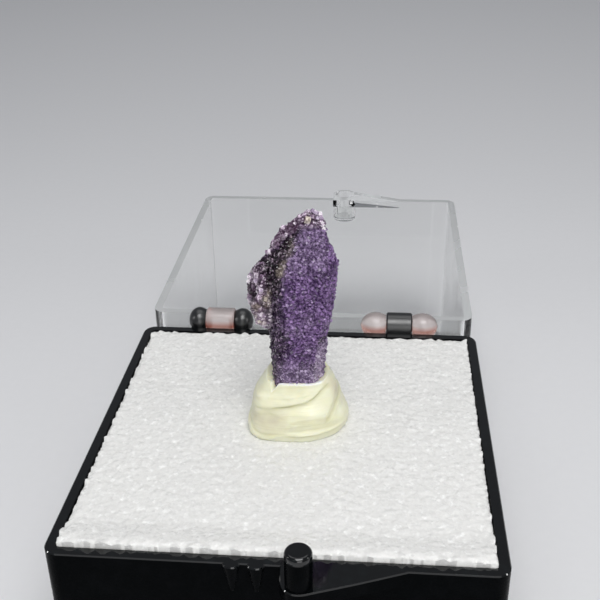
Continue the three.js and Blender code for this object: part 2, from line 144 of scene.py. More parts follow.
class StageSettings(bpy.types.PropertyGroup):
    key: FloatProperty(name="Key", description="Power of the overhead light", default=0.22, unit="POWER")
    floor: tint("Floor", "Colour of the floor", 0.8, 0.8, 0.81)


# ---- mesh helpers ----

MERGE_WITHIN = 1e-7      # metres
FLAT_WITHIN = math.radians(0.6)
SHARP_FROM = 38          # degrees


def added(name, data):
    """A new object with this data, linked into the scene."""
    made = bpy.data.objects.new(name, data)
    bpy.context.scene.collection.objects.link(made)
    return made


def object_from(name, vertices, faces):
    """A new mesh object, its vertices in metres."""
    mesh = bpy.data.meshes.new(name)
    mesh.from_pydata([tuple(v) for v in vertices], [], [tuple(f) for f in faces])
    mesh.update()
    return added(name, mesh)


def write_values(mesh, names, rows):
    """Stores a row of values for each point, each value under its name."""
    for index, name in enumerate(names):
        layer = mesh.attributes.new(name, "FLOAT", "POINT")
        layer.data.foreach_set("value", [row[index] for row in rows])


def edit_mesh(obj, change):
    """Merges doubles, then lets change(work) alter the mesh."""
    work = bmesh.new()
    work.from_mesh(obj.data)
    bmesh.ops.remove_doubles(work, verts=work.verts, dist=MERGE_WITHIN)
    change(work)
    work.to_mesh(obj.data)
    work.free()


def outward(obj):
    """Turns every face outwards."""
    edit_mesh(obj, lambda work: bmesh.ops.recalc_face_normals(work, faces=work.faces))
    return obj


def apply_modifiers(obj):
    """Replaces the mesh by its evaluated one and clears the modifiers."""
    evaluated = obj.evaluated_get(bpy.context.evaluated_depsgraph_get())
    mesh = bpy.data.meshes.new_from_object(evaluated)
    obj.modifiers.clear()
    old, obj.data = obj.data, mesh
    mesh.name = obj.name
    bpy.data.meshes.remove(old)


def combine(obj, others, operation):
    """Joins or cuts obj with each of the others, which are used up."""
    for other in others:
        modifier = obj.modifiers.new(operation.title(), "BOOLEAN")
        modifier.operation = operation
        modifier.solver = "EXACT"
        modifier.object = other
    apply_modifiers(obj)
    for other in others:
        bpy.data.objects.remove(other)


def shade_by_angle(mesh, degrees):
    """Smooth shading, apart from edges sharper than an angle."""
    mesh.polygons.foreach_set("use_smooth", [True] * len(mesh.polygons))
    mesh.set_sharp_from_angle(angle=math.radians(degrees))


def round_edges(obj, width):
    """A moulded look: flat triangles become faces, then every edge is rounded."""
    edit_mesh(obj, lambda work: bmesh.ops.dissolve_limit(
        work, angle_limit=FLAT_WITHIN, verts=work.verts, edges=work.edges, delimit={"NORMAL"}))
    bevel = obj.modifiers.new("Round", "BEVEL")
    bevel.width = width
    bevel.segments = 2
    bevel.limit_method = "ANGLE"
    bevel.angle_limit = math.radians(SHARP_FROM)
    bevel.use_clamp_overlap = True
    bevel.miter_outer = "MITER_ARC"
    weighted = obj.modifiers.new("Flat Faces", "WEIGHTED_NORMAL")
    weighted.keep_sharp = True
    shade_by_angle(obj.data, SHARP_FROM)
    apply_modifiers(obj)


def place(obj, material, body, slot, *nodes):
    """Gives a finished piece its material and its part in the frame."""
    obj.data.materials.clear()
    obj.data.materials.append(material)
    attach(obj, body)
    if nodes:
        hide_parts(*nodes)


def rounded_square(side, radius):
    """Points of a square with round corners, anticlockwise, in millimetres."""
    inner, steps = side / 2 - radius, 10
    points = []
    for corner, (x, y) in enumerate(((1, 1), (-1, 1), (-1, -1), (1, -1))):
        for step in range(steps + 1):
            turn = math.pi / 2 * (corner + step / steps)
            points.append((x * inner + radius * math.cos(turn), y * inner + radius * math.sin(turn)))
    return points


def ring_faces(rows, count):
    """Faces of a closed skin: rows of quads between rings of count points, and a cap at each end."""
    faces = [tuple(reversed(range(count))), tuple(range(rows * count, (rows + 1) * count))]
    for low in range(0, rows * count, count):
        for column in range(count):
            after = (column + 1) % count
            faces.append((low + column, low + after, low + count + after, low + count + column))
    return faces


def stack(name, rings):
    """A closed skin over rings of equally many points, bottom to top, in metres."""
    points = [point for ring in rings for point in ring]
    return object_from(name, points, ring_faces(len(rings) - 1, len(rings[0])))


def level(outline, height):
    """An outline in millimetres as a ring in metres."""
    return [(x * MM, y * MM, height * MM) for x, y in outline]


def slab(name, outline, bottom, top):
    """An outline in millimetres pulled up from bottom to top."""
    return stack(name, [level(outline, bottom), level(outline, top)])


def inset(outline, amount):
    """An anticlockwise outline moved inwards by an amount."""
    moved = []
    for before, here, after in zip(outline[-1:] + outline[:-1], outline, outline[1:] + outline[:1]):
        first = Vector((here[1] - before[1], before[0] - here[0])).normalized()
        second = Vector((after[1] - here[1], here[0] - after[0])).normalized()
        outward_way = (first + second) / (1 + first.dot(second))
        moved.append((here[0] - amount * outward_way.x, here[1] - amount * outward_way.y))
    return moved


def chamfered(name, outline, bottom, top, chamfer):
    """A slab with its upper edge cut off at 45 degrees."""
    upper = level(inset(outline, chamfer), top)
    return stack(name, [level(outline, bottom), level(outline, top - chamfer), upper])


def block(name, low, high):
    """A box between two opposite corners in millimetres."""
    (x0, y0, z0), (x1, y1, z1) = low, high
    return slab(name, [(x0, y0), (x1, y0), (x1, y1), (x0, y1)], z0, z1)


def turned(name, profile, turn, centre, segments=40):
    """A solid turned about an axis from [(along, radius), ...]; turn takes +Z to the axis."""
    rings = []
    for along, radius in profile:
        ring = []
        for step in range(segments):
            angle = 2 * math.pi * step / segments
            local = Vector((radius * math.cos(angle), radius * math.sin(angle), along))
            ring.append((turn @ local + Vector(centre)) * MM)
        rings.append(ring)
    return outward(stack(name, rings))


# ---- node helpers ----

def add_node(tree, kind, values=None, **options):
    """A new node with its options set, and its inputs linked or set to constants."""
    made = tree.nodes.new(kind)
    for option, value in options.items():
        setattr(made, option, value)
    for socket, value in (values or {}).items():
        if isinstance(value, bpy.types.NodeSocket):
            tree.links.new(value, made.inputs[socket])
        else:
            made.inputs[socket].default_value = value
    return made


class Shader:
    """A short way to write a node material around one Principled shader."""

    def __init__(self, name, **constants):
        self.material = bpy.data.materials.new(name)
        self.material.use_nodes = True
        self.tree = self.material.node_tree
        self.surface = self.tree.nodes["Principled BSDF"]
        for socket, value in constants.items():
            self.surface.inputs[socket.replace("_", " ")].default_value = value
        self.coordinates = self.node("TexCoord")["Object"]

    def node(self, kind, values=None, **options):
        """A shader node's outputs, with its inputs linked or set."""
        return add_node(self.tree, "ShaderNode" + kind, values, **options).outputs

    def noise(self, per_metre, detail=3.0, roughness=0.55):
        """Noise from 0 to 1 that stays with the piece."""
        values = {"Vector": self.coordinates, "Scale": per_metre, "Detail": detail, "Roughness": roughness}
        return self.node("TexNoise", values)["Fac"]

    def ramp(self, factor, *stops):
        """A ramp over (position, colour or grey) stops."""
        made = add_node(self.tree, "ShaderNodeValToRGB", {"Fac": factor})
        elements = made.color_ramp.elements
        while len(elements) < len(stops):
            elements.new(0.5)
        for element, (position, color) in zip(elements, stops):
            element.position = position
            element.color = (*color, 1.0) if isinstance(color, tuple) else (color, color, color, 1.0)
        return made.outputs["Color"]

    def mix(self, factor, first, second, blend="MIX"):
        """A mix of two colours, each a socket or a tuple."""
        first, second = ((*value, 1.0) if isinstance(value, tuple) else value for value in (first, second))
        return self.node("Mix", {0: factor, 6: first, 7: second}, data_type="RGBA", blend_type=blend)[2]

    def attribute(self, name):
        """A value that the mesh's points carry."""
        return self.node("Attribute", attribute_name=name)["Fac"]

    def math(self, operation, *values):
        """A sum on values, kept within 0 and 1."""
        return self.node("Math", dict(enumerate(values)), operation=operation, use_clamp=True)[0]

    def bump(self, per_metre, detail, distance, strength, roughness=0.55):
        """Fine unevenness from noise, its distance in millimetres."""
        height = self.noise(per_metre, detail, roughness)
        self.drive("Normal", self.node(
            "Bump", {"Height": height, "Distance": distance * MM, "Strength": strength})["Normal"])

    def drive(self, socket, output):
        """Links an output to one of the finish's own inputs."""
        self.tree.links.new(output, self.surface.inputs[socket])

    def vary_roughness(self, per_metre, detail, low, high):
        """Roughness that wanders between low and high."""
        self.drive("Roughness", self.ramp(self.noise(per_metre, detail), (0.3, low), (0.75, high)))


# ---- hinge knuckles ----

ALONG_X = Matrix.Rotation(math.pi / 2, 3, "Y")
UPRIGHT = Matrix.Identity(3)
POLE = 0.01     # radius at the two ends of a turned solid, so that none of its faces is a sliver


def ball_profile(width, side):
    """A ball with a flat inner face at 0 that reaches out to width, times side."""
    flat, steps = BALL_FLAT * KNUCKLE_RADIUS, 16
    profile = [(0.0, POLE)]
    for step in range(steps + 1):
        share = step / steps
        if share < BALL_WIDEST:
            radius = flat + (KNUCKLE_RADIUS - flat) * math.sin(share / BALL_WIDEST * math.pi / 2)
        else:
            beyond = (share - BALL_WIDEST) / (1 - BALL_WIDEST)
            radius = KNUCKLE_RADIUS * math.sqrt(max(0.0, 1 - beyond ** 2))
        profile.append((side * width * share, max(radius, POLE)))
    return profile


def barrel_profile(width):
    """A barrel with bevelled ends, its middle at 0."""
    end, narrow = width / 2, KNUCKLE_RADIUS - BARREL_BEVEL
    return [(-end, POLE), (-end, narrow), (-end + BARREL_BEVEL, KNUCKLE_RADIUS),
            (end - BARREL_BEVEL, KNUCKLE_RADIUS), (end, narrow), (end, POLE)]


def pin_profile(start, end, radius):
    """A plain pin from start to end along its axis."""
    return [(start, POLE), (start, radius), (end, radius), (end, POLE)]


def hinge_arm(middle, width, on_base):
    """The arm that carries a knuckle, as the box is moulded shut."""
    rim = RIM / MM
    low, high = (rim - ARM, rim) if on_base else (rim + RIM_GAP, rim + RIM_GAP + ARM)
    inner = HALF / MM - WALL / 2
    return block("arm", (middle - width / 2, inner, low), (middle + width / 2, AXIS.y / MM, high))


def knuckles(on_base):
    """(pieces to join, pieces to cut) for the base's or the lid's share of both hinge groups."""
    join, cut = [], []
    groups = ((-KNUCKLE_SPACING, LEFT_BARREL, LEFT_BALL, False),
              (KNUCKLE_SPACING, RIGHT_BARREL, RIGHT_BALL, True))
    for centre, barrel, ball, base_has_barrel in groups:
        at = (centre, AXIS.y / MM, AXIS.z / MM)
        end = barrel / 2
        face = end + KNUCKLE_GAP
        if base_has_barrel == on_base:
            join.append(turned("barrel", barrel_profile(barrel), ALONG_X, at))
            join.append(hinge_arm(centre, barrel * BARREL_ARM, on_base))
            for side in (-1, 1):
                well = pin_profile(side * (end - PIP_LENGTH - PIP_PLAY), side * (face + PIP_PLAY),
                                   PIP_RADIUS + PIP_PLAY)
                cut.append(turned("well", well, ALONG_X, at))
            continue
        for side in (-1, 1):
            beside = (centre + side * face, at[1], at[2])
            join.append(turned("ball", ball_profile(ball, side), ALONG_X, beside))
            pip = pin_profile(side * (end - PIP_LENGTH), side * (face + PIP_RADIUS), PIP_RADIUS)
            join.append(turned("pip", pip, ALONG_X, at))
            middle = centre + side * (face + BALL_ARM_MIDDLE * ball)
            join.append(hinge_arm(middle, ball * BALL_ARM, on_base))
    return join, cut


# ---- black base ----

def thumb_tab(bottom):
    """The thumb tab as a slab from a height in millimetres up, its root a little way into the wall."""
    inside_wall = -HALF / MM + WALL / 2
    outline = [(TAB_OUTLINE[0][0], inside_wall), TAB_OUTLINE[0]]
    # The curved part is smooth, with two steps between its measured points.
    curved = TAB_OUTLINE[:-2]
    for before, here, after, beyond in zip(curved, curved[1:], curved[2:], curved[3:]):
        middle = [(9 * (here[axis] + after[axis]) - before[axis] - beyond[axis]) / 16 for axis in (0, 1)]
        outline += [here, (middle[0], max(middle[1], TAB_TIP))]
    outline += [*TAB_OUTLINE[-4:], (TAB_OUTLINE[-1][0], inside_wall)]
    return chamfered("tab", outline, bottom, bottom + TAB_THICKNESS, TOP_CHAMFER)


def grip_rib(x):
    """A rib on the front wall, flush with the rim on top, that narrows to a rounded foot."""
    radius = RIB_WIDTH / 2
    tip = RIB_TIP * radius
    profile = [(-RIB_LENGTH, POLE)]
    for step in range(1, 6):
        turn = step / 5 * math.pi / 2
        profile.append((-RIB_LENGTH + tip * (1 - math.cos(turn)), tip * math.sin(turn)))
    profile += [(-TOP_CHAMFER, radius), (0.0, radius - TOP_CHAMFER), (0.0, POLE)]
    flatten = Matrix.Diagonal((1, RIB_STAND_OUT / radius, 1))
    return turned("rib", profile, flatten, (x, -HALF / MM, RIM / MM), 32)


def catch_post():
    """A round post on the tab, with a fine groove below its rounded head."""
    neck, below = POST_RADIUS - POST_GROOVE, POST_TOP - POST_HEAD
    profile = [(-POST_SUNK, POLE), (-POST_SUNK, POST_RADIUS), (below - POST_GROOVE, POST_RADIUS),
               (below, neck), (below + POST_GROOVE, neck), (below + 2 * POST_GROOVE, POST_RADIUS)]
    for step in range(7):
        turn = step / 6 * math.pi / 2
        profile.append((POST_TOP - POST_DOME * (1 - math.sin(turn)),
                        POST_CROWN + (POST_RADIUS - POST_CROWN) * math.cos(turn)))
    profile.append((POST_TOP, POLE))
    return turned("post", profile, UPRIGHT, (POST_X, POST_Y, RIM / MM), 48)


SCUFFED, SCUFFED_GLOSS = (0.002, 0.0024, 0.003), (0.0035, 0.0055, 0.006)    # worn black plastic


def black_plastic(settings):
    """The base's plastic on its walls, with its reflection nearly turned off: painted shade that keeps them
    dark.
    """
    shader = Shader("black_plastic", IOR=1.5, Specular_IOR_Level=0.02)
    scuffs = shader.ramp(shader.noise(900, 6), (0.45, 0.0), (0.75, 1.0))
    shader.drive("Base Color", shader.mix(scuffs, tuple(settings.black), SCUFFED))
    shader.vary_roughness(2600, 4, 0.2, 0.35)
    shader.bump(700, 3, 0.03, 0.35)
    return shader.material


def reflective_copy(settings, name, low, high, shine):
    """A more reflective copy of the base's plastic, its roughness between low and high, for the faces that
    are to catch the lights.
    """
    shader = Shader(name, IOR=1.5, Specular_IOR_Level=shine)
    scuffs = shader.ramp(shader.noise(1400, 5), (0.5, 0.0), (0.8, 1.0))
    shader.drive("Base Color", shader.mix(scuffs, tuple(settings.black), SCUFFED_GLOSS))
    shader.vary_roughness(2600, 4, low, high)
    shader.bump(900, 3, 0.015, 0.25)
    return shader.material


FACES_UP = 0.3              # least upward part of a face's normal
PAST_WALL = 0.01 * MM       # how far past the back wall a face counts as a knuckle's
NEAR_RIM, NEAR_LID_RIM = 0.2 * MM, 0.1 * MM     # how far below a rim a face still belongs to it


def lit_and_shaded_copies(obj):
    """Splits the plastic into lit and shaded copies: the glossy copy on the post's head and the faces that
    look up at the rim, a copy with a painted bright sheen on the knuckles, and the dark walls' copy on the
    rest.
    """
    settings = bpy.context.scene.mineral_box
    obj.data.materials.append(reflective_copy(settings, "black_plastic_polished", 0.04, 0.10, 0.6))
    # Painted highlight: the knuckles' copy reflects twice as much as the plastic does, for a broad bright
    # sheen.
    obj.data.materials.append(reflective_copy(settings, "black_plastic_worn", 0.30, 0.40, 1.0))
    near_rim, head = RIM - NEAR_RIM, RIM + (POST_TOP - POST_HEAD) * MM
    for face in obj.data.polygons:
        upward = face.normal.z > FACES_UP and face.center.z > near_rim
        knuckle = face.center.y > HALF + PAST_WALL
        face.material_index = 2 if knuckle else int(upward or face.center.z > head)


class MINERAL_OT_black_base(bpy.types.Operator):
    """Builds the black base with its thumb tab, catch post, grip ribs and knuckles"""
    bl_idname = "mineral.black_base"
    bl_label = "Black Base"

    def execute(self, context):
        settings = context.scene.mineral_box
        side, rim = 2 * HALF / MM, RIM / MM
        base = chamfered("box_base_moulded", rounded_square(side, CORNER), 0, rim, TOP_CHAMFER)
        inside = slab("inside", rounded_square(side - 2 * WALL, INNER_CORNER), FLOOR, rim + 1)
        join, cut = knuckles(on_base=True)
        combine(base, [grip_rib(x) for x in RIB_CENTRES], "UNION")
        combine(base, [inside], "DIFFERENCE")
        combine(base, [thumb_tab(rim - TAB_THICKNESS), catch_post(), *join], "UNION")
        combine(base, cut, "DIFFERENCE")
        round_edges(base, settings.edge)
        place(base, black_plastic(settings), "base", "black_plastic", "box_base")
        lit_and_shaded_copies(base)
        return {"FINISHED"}


# ---- clear lid ----

KNUCKLE_TOP = (0.95, 0.83, 0.81)        # tint of the upper side of the lid's knuckles
KNUCKLE_BAND = 1.2 * MM                 # height of the band round the axis in which their tint changes
# The rim's whitish cloud is partly painted light, standing in for the light that the clear walls carry.
RIM_CLOUD, RIM_CLEAR = (0.88, 0.90, 0.90), (0.94, 0.95, 0.95)


def clear_plastic(settings):
    """The lid's clear plastic, its walls very slightly wavy."""
    shader = Shader("clear_plastic", Roughness=0.03, IOR=1.49, Transmission_Weight=1.0,
                    Base_Color=(*settings.clear, 1.0))
    shader.bump(160, 2, 0.04, 0.25)
    return shader.material


def knuckle_plastic(settings):
    """The lid's plastic at its knuckles, a little cloudy, with a painted warm reflection that makes it pinker
    towards the underside.
    """
    shader = Shader("clear_plastic_knuckle", IOR=1.49, Transmission_Weight=0.66)
    height = shader.node("SeparateXYZ", {"Vector": shader.coordinates})["Z"]
    rise = shader.math(
        "MULTIPLY_ADD", height, 1 / KNUCKLE_BAND, (KNUCKLE_BAND / 2 - AXIS.z) / KNUCKLE_BAND)
    upper = shader.ramp(rise, (0.5, 0.0), (0.92, 1.0))
    cloud = shader.ramp(shader.noise(500, 3), (0.35, 0.94), (0.65, 1.0))
    # Painted warm reflection: pink on the knuckles' underside, giving way to the upper tint.
    pink_reflection = shader.mix(upper, tuple(settings.knuckle), KNUCKLE_TOP)
    shader.drive("Base Color", shader.mix(1.0, pink_reflection, cloud, blend="MULTIPLY"))
    shader.vary_roughness(2600, 3, 0.08, 0.16)
    return shader.material


def rim_plastic():
    """The lid's plastic along its rim, half cloudy and whitish: partly a less polished moulded edge, partly
    painted light that stands in for the light the clear walls carry.
    """
    shader = Shader("clear_plastic_rim", IOR=1.49, Transmission_Weight=0.5)
    cloud = shader.ramp(shader.noise(160, 2), (0.35, RIM_CLOUD), (0.65, RIM_CLEAR))
    shader.drive("Base Color", cloud)
    shader.vary_roughness(300, 2, 0.22, 0.3)
    return shader.material


def finish_lid(obj):
    """Puts the other finishes on the knuckles and the rim of the opened lid: the knuckles' painted warm
    reflection, and the rim's whitish finish, which is partly painted light.
    """
    obj.data.materials.append(knuckle_plastic(bpy.context.scene.mineral_box))
    obj.data.materials.append(rim_plastic())
    rim = 2 * AXIS.z - RIM - RIM_GAP * MM - NEAR_LID_RIM
    for face in obj.data.polygons:
        knuckle = face.center.y < 2 * AXIS.y - HALF - PAST_WALL
        on_rim = face.normal.z > FACES_UP and face.center.z > rim
        face.material_index = 1 if knuckle else 2 * int(on_rim)


class MINERAL_OT_clear_lid(bpy.types.Operator):
    """Builds the clear lid shut on the base, then opens it right back"""
    bl_idname = "mineral.clear_lid"
    bl_label = "Clear Lid"

    def execute(self, context):
        settings = context.scene.mineral_box
        side, bottom = 2 * HALF / MM, RIM / MM + RIM_GAP
        top = bottom + LID_HEIGHT
        lid = slab("clear_lid_moulded", rounded_square(side, CORNER), bottom, top)
        inside = slab("inside", rounded_square(side - 2 * WALL, INNER_CORNER), bottom - 1, top - ROOF)
        join, cut = knuckles(on_base=False)
        at_post = (POST_X, POST_Y, bottom)
        boss = turned("boss", pin_profile(0, BOSS_HEIGHT, BOSS_RADIUS), UPRIGHT, at_post)
        socket = turned("socket", pin_profile(-1, SOCKET_DEPTH, POST_RADIUS + POST_PLAY), UPRIGHT, at_post)
        combine(lid, [inside], "DIFFERENCE")
        combine(lid, [thumb_tab(bottom), boss, *join], "UNION")
        combine(lid, [socket, *cut], "DIFFERENCE")
        open_back = Matrix.Translation(AXIS) @ Matrix.Rotation(math.pi, 4, "X") @ Matrix.Translation(-AXIS)
        lid.data.transform(open_back)
        round_edges(lid, settings.edge)
        place(lid, clear_plastic(settings), "lid", "clear_plastic", "clear_lid")
        finish_lid(lid)
        return {"FINISHED"}


# ---- blending and noise ----

def smooth_step(low, high, value):
    """0 up to low and 1 from high on, with an even change between; low may be the greater."""
    share = np.clip((value - low) / (high - low), 0, 1)
    return share * share * (3 - 2 * share)


def seed_shift(seed):
    """Where in the noise a seed reads, far from the others."""
    return Vector((seed * 7.3, seed * 3.1, seed * 5.7))


def noise_field(points, size, seed):
    """Smooth noise in -1..1 at points in millimetres, with features of about the given size."""
    shift = seed_shift(seed)
    return np.array([noise.noise(Vector(p) / size + shift) for p in points])


def cell_bumps(points, size, seed):
    """Round bumps that meet in creases, about 1 at a bump's middle and 0 in a crease."""
    shift, heights = seed_shift(seed), []
    for p in points:
        distances, _ = noise.voronoi(Vector(p) / size + shift)
        heights.append(min(1.0, (distances[1] - distances[0]) * 1.6))
    return np.array(heights)


# ---- foam ----

FOAM_SHADOW, FOAM_LIGHT, FOAM_SPECK = (0.735, 0.73, 0.71), (0.86, 0.855, 0.83), (0.96, 0.96, 0.94)


def white_foam(settings):
    """White foam with fine pale specks, glossy in places."""
    shader = Shader("white_foam", IOR=1.45, Subsurface_Weight=0.25, Subsurface_Scale=1.0,
                    Subsurface_Radius=(0.6 * MM, 0.6 * MM, 0.6 * MM))
    shade = shader.ramp(shader.noise(4200, 4, 0.65), (0.34, FOAM_SHADOW),
                        (0.56, tuple(settings.color)), (0.76, FOAM_LIGHT))
    specks = shader.ramp(shader.noise(2000, 2, 0.6), (0.57, 0.0), (0.74, 0.9))
    shader.drive("Base Color", shader.mix(specks, shade, FOAM_SPECK))
    cells = shader.node("TexVoronoi", {"Vector": shader.coordinates, "Scale": 3800})["Color"]
    shader.drive("Roughness", shader.ramp(cells, (0.3, 0.18), (0.6, 0.6)))
    shader.bump(5200, 4, 0.05, 0.35, 0.7)
    return shader.material


# In millimetres, apart from the shares.
BEAD, GRAIN, SWELL = 0.95, 0.22, 2.4         # sizes of the foam's beads, its grain and its soft swells
SQUEEZE, SQUEEZE_FROM, SQUEEZE_TO = 0.46, 0.3, 3.0     # rise along the front wall, fading inwards
PRESSED = 0.4                                # how deep the putty has pressed the foam
FOAM_OVER, FOAM_OVER_FRONT = 0.12, 0.5       # most that the foam rises over the rim, and more in front
EDGE_BEADS, EDGE_WIDTH = 0.12, 0.6           # further height of the beads along the walls, and how far in
EDGE_DROP, EDGE_DROP_FRONT, DROP_WIDTH = 0.08, 0.06, 0.2    # depth of the creases at the very edge
EDGE_PULL, PULL_WIDTH = 0.0035, 0.8          # share by which creases draw the edge in, and how far in
BEAD_SHARE, GRAIN_SHARE, SWELL_SHARE = 0.9, 0.55, 0.5       # shares of the relief
BEAD_MIDDLE = 0.6                            # share of a bead's height that counts as level


def foam_top(flat, low, high, relief):
    """Each point's height, and the share by which its beads pull the foam's edge inwards."""
    beads = cell_bumps(flat, BEAD, 1)
    edge = high.x - np.abs(flat[:, :2]).max(axis=1)
    height = relief * (BEAD_SHARE * (beads - BEAD_MIDDLE) + GRAIN_SHARE * noise_field(flat, GRAIN, 2)
                       + SWELL_SHARE * noise_field(flat, SWELL, 3))
    # The foam is squeezed up along the front wall, and its beads stand out by uneven amounts.
    squeezed = 1 - smooth_step(SQUEEZE_FROM, SQUEEZE_TO, flat[:, 1] - low.y)
    height += SQUEEZE * squeezed + EDGE_BEADS * (1 - smooth_step(0.0, EDGE_WIDTH, edge)) * (beads - 0.5)
    height -= (EDGE_DROP + EDGE_DROP_FRONT * squeezed) * (
        1 - smooth_step(0.0, DROP_WIDTH, edge)) * (1 - beads)
    top = high.z + height
    # The putty sits in the foam.
    from_putty = []
    for x, y, _ in flat:
        across, deep = x - PUTTY_CENTRE[0], y - PUTTY_CENTRE[1]
        gap = math.hypot(across, deep)
        near = 0 < gap < PUTTY_FAR
        from_putty.append(gap - (putty_radius(math.atan2(deep, across), 0.0) if near else PUTTY_FAR / 2))
    top -= PRESSED * (1 - smooth_step(-0.4, -0.12, np.array(from_putty)))
    pulled = (1 - smooth_step(0.0, PULL_WIDTH, edge)) * EDGE_PULL * (1 - beads)
    return np.minimum(top, high.z + FOAM_OVER + FOAM_OVER_FRONT * squeezed), pulled


def foam_skin(step, relief):
    """The foam's rough top on a square grid, its sides and its underside, as points in metres and faces."""
    low, high = FOAM_LOW / MM, FOAM_HIGH / MM
    steps = round((high.x - low.x) / step)
    line = np.linspace(low.x, high.x, steps + 1)
    x, y = np.meshgrid(line, line)
    flat = np.stack([x.ravel(), y.ravel(), np.zeros(x.size)], 1)
    top, pulled = foam_top(flat, low, high, relief)
    plan = flat[:, :2] * (1 - pulled)[:, None]
    points = [tuple(point) for point in np.column_stack([plan, top]) * MM]
    row = steps + 1
    faces = [(first + c, first + c + 1, first + row + c + 1, first + row + c)
             for first in range(0, steps * row, row) for c in range(steps)]
    # The grid's border, anticlockwise from its first corner, is drawn down to the foam's foot.
    border = [*range(steps), *range(steps, steps * row, row), *range(row * row - 1, steps * row, -1),
              *range(steps * row, 0, -row)]
    start, count = len(points), len(border)
    points += [(*points[corner][:2], low.z * MM) for corner in border]
    for i in range(count):
        after = (i + 1) % count
        faces.append((border[after], border[i], start + i, start + after))
    faces.append(tuple(range(start + count - 1, start - 1, -1)))
    return points, faces


class MINERAL_OT_foam(bpy.types.Operator):
    """Builds the foam block with its rough beaded top and edges"""
    bl_idname = "mineral.foam"
    bl_label = "Foam Insert"

    def execute(self, context):
        settings = context.scene.mineral_foam
        skin = foam_skin(settings.step / MM, settings.relief / MM)
        foam = outward(object_from("foam_block", *skin))
        shade_by_angle(foam.data, 60)
        place(foam, white_foam(settings), "base", "white_foam", "foam_insert")
        return {"FINISHED"}


# ---- quartz point ----

# The profiles of the point: [(height, millimetres), ...].
POINT = {
    "ridge": [(0.9, -1.2), (4.2, -1.29), (8.0, -0.96), (10.5, -0.8), (12.6, -0.99), (14.5, -0.65),
              (15.8, 0.04), (16.8, 0.58), (17.9, 1.5)],
    "left": [(0.9, -1.5), (4.2, -1.62), (8.0, -1.8), (11.0, -2.4), (13.2, -2.8), (14.0, -2.55), (15.0, -1.85),
             (16.2, -1.27), (17.2, -0.22), (17.9, 0.55)],
    "front_right": [(0.9, 1.4), (4.2, 1.62), (6.5, 1.85), (8.4, 2.15), (10.0, 2.5), (12.0, 2.78),
                    (15.0, 2.95), (16.6, 2.55), (17.9, 2.2)],
    "right": [(0.9, 2.3), (4.4, 2.38), (8.4, 2.72), (10.1, 3.1), (13.4, 3.44), (14.4, 3.46), (15.4, 3.12),
              (16.6, 2.62), (17.9, 2.38)],
    "front": [(0.9, -0.35), (12.0, -0.25), (15.0, 0.1), (17.9, 1.15)],
    "right_depth": [(0.9, 1.5), (8.4, 1.2), (12.0, 1.0), (17.9, 1.4)],
    "left_depth": [(0.9, 1.2), (12.0, 1.3), (17.9, 1.7)],
    "back": [(0.9, 3.7), (8.0, 3.9), (12.2, 3.8), (14.0, 3.2), (16.0, 2.5), (17.9, 1.95)],
    "back_slope": [(0.9, 0.28), (12.0, 0.28), (15.0, 0.4), (17.9, 0.45)],
}
POINT_FOOT, POINT_TOP = POINT["ridge"][0][0], POINT["ridge"][-1][0]

# The uneven shoulder of coarser crystals on the left.
LUMP = {
    "left": [(8.9, -2.1), (9.3, -2.55), (9.9, -2.9), (10.6, -3.15), (12.6, -3.25), (13.2, -3.2),
             (13.7, -2.85), (14.2, -2.3)],
    "right": [(8.9, -1.8), (9.5, -1.5), (11.0, -1.5), (13.0, -1.7), (14.2, -1.9)],
    "front": [(8.9, 0.5), (9.6, 0.0), (10.8, -0.2), (12.6, -0.1), (14.2, 0.8)],
    "back": [(8.9, 0.9), (10.0, 1.6), (12.8, 2.1), (14.2, 1.8)],
}
LUMP_MIDDLE = (-2.3, 0.8)
LUMP_ROWS, LUMP_STEPS = 60, 64


def along(profile, height):
    """The value of a profile at a height, straight between its points."""
    heights, values = zip(*profile)
    return float(np.interp(height, heights, values))


def section(height):
    """Six corners of the point's cross-section, anticlockwise from the ridge."""
    at = {name: along(profile, height) for name, profile in POINT.items()}
    slope = at["back_slope"] * (at["right"] - at["left"])
    return [Vector(c) for c in (
        (at["ridge"], at["front"]), (at["front_right"], at["front"] + 0.15), (at["right"], at["right_depth"]),
        (at["right"] - slope, at["back"]), (at["left"] + slope, at["back"]), (at["left"], at["left_depth"]))]


# Roughness of the two skins: (depth, size, seed).
POINT_ROUGH, LUMP_ROUGH = ((0.08, 0.9, 4), (0.06, 0.35, 5)), ((0.13, 0.7, 6), (0.09, 0.3, 7))
STEP_DEPTH, STEP_TURNS = 0.025, 9.0     # the fine steps' depth, and radians over a millimetre of height
SKIN_ROWS = 110
# The sides of the point's section, anticlockwise from the ridge, and the steps along each.
FRONT, BEVEL, RIGHT, BACK, BACK_LEFT, LEFT = range(6)
SIDE_STEPS = (34, 10, 16, 26, 16, 18)

# What the crust carries from place to place, each 0..1 except the grain's relative size.
ZONES = ("dark", "band", "pale", "cream", "rich", "coarse", "cover", "cubes", "big", "tone")
SKIN_TONE = 0.2

# Where the front of the crust turns dark, from the ridge to the left: [(height, x), ...].
DARK_EDGE = [(4.0, -1.0), (5.4, -0.9), (7.5, -0.25), (9.2, -0.42), (11.7, -0.68), (14.0, -0.62), (15.2, -0.1),
             (16.5, 0.45), (17.4, 0.9)]

# The inner border of the coarse crystals on the termination: [(height, x), ...].
BAND_EDGE = [(14.3, -2.2), (15.2, -1.40), (16.2, -0.45), (16.95, 0.40), (17.6, 1.4)]

# Heights over which parts of the crust set in, or fade out where the second is the lower.
ROUGH_FROM, CRUST_FROM, FOOT_FADE, FACET_FADE = (4.0, 5.2), (3.4, 3.7), (7.0, 5.0), (8.2, 7.2)
SOFT_DARK, DARKER_FROM, PALE_FROM = (12.5, 10.5), (11.0, 13.0), (13.0, 15.0)
BAND_FROM, SUMMIT_FROM, LUMP_FADE = (14.3, 15.0), (17.0, 17.6), (11.2, 9.8)

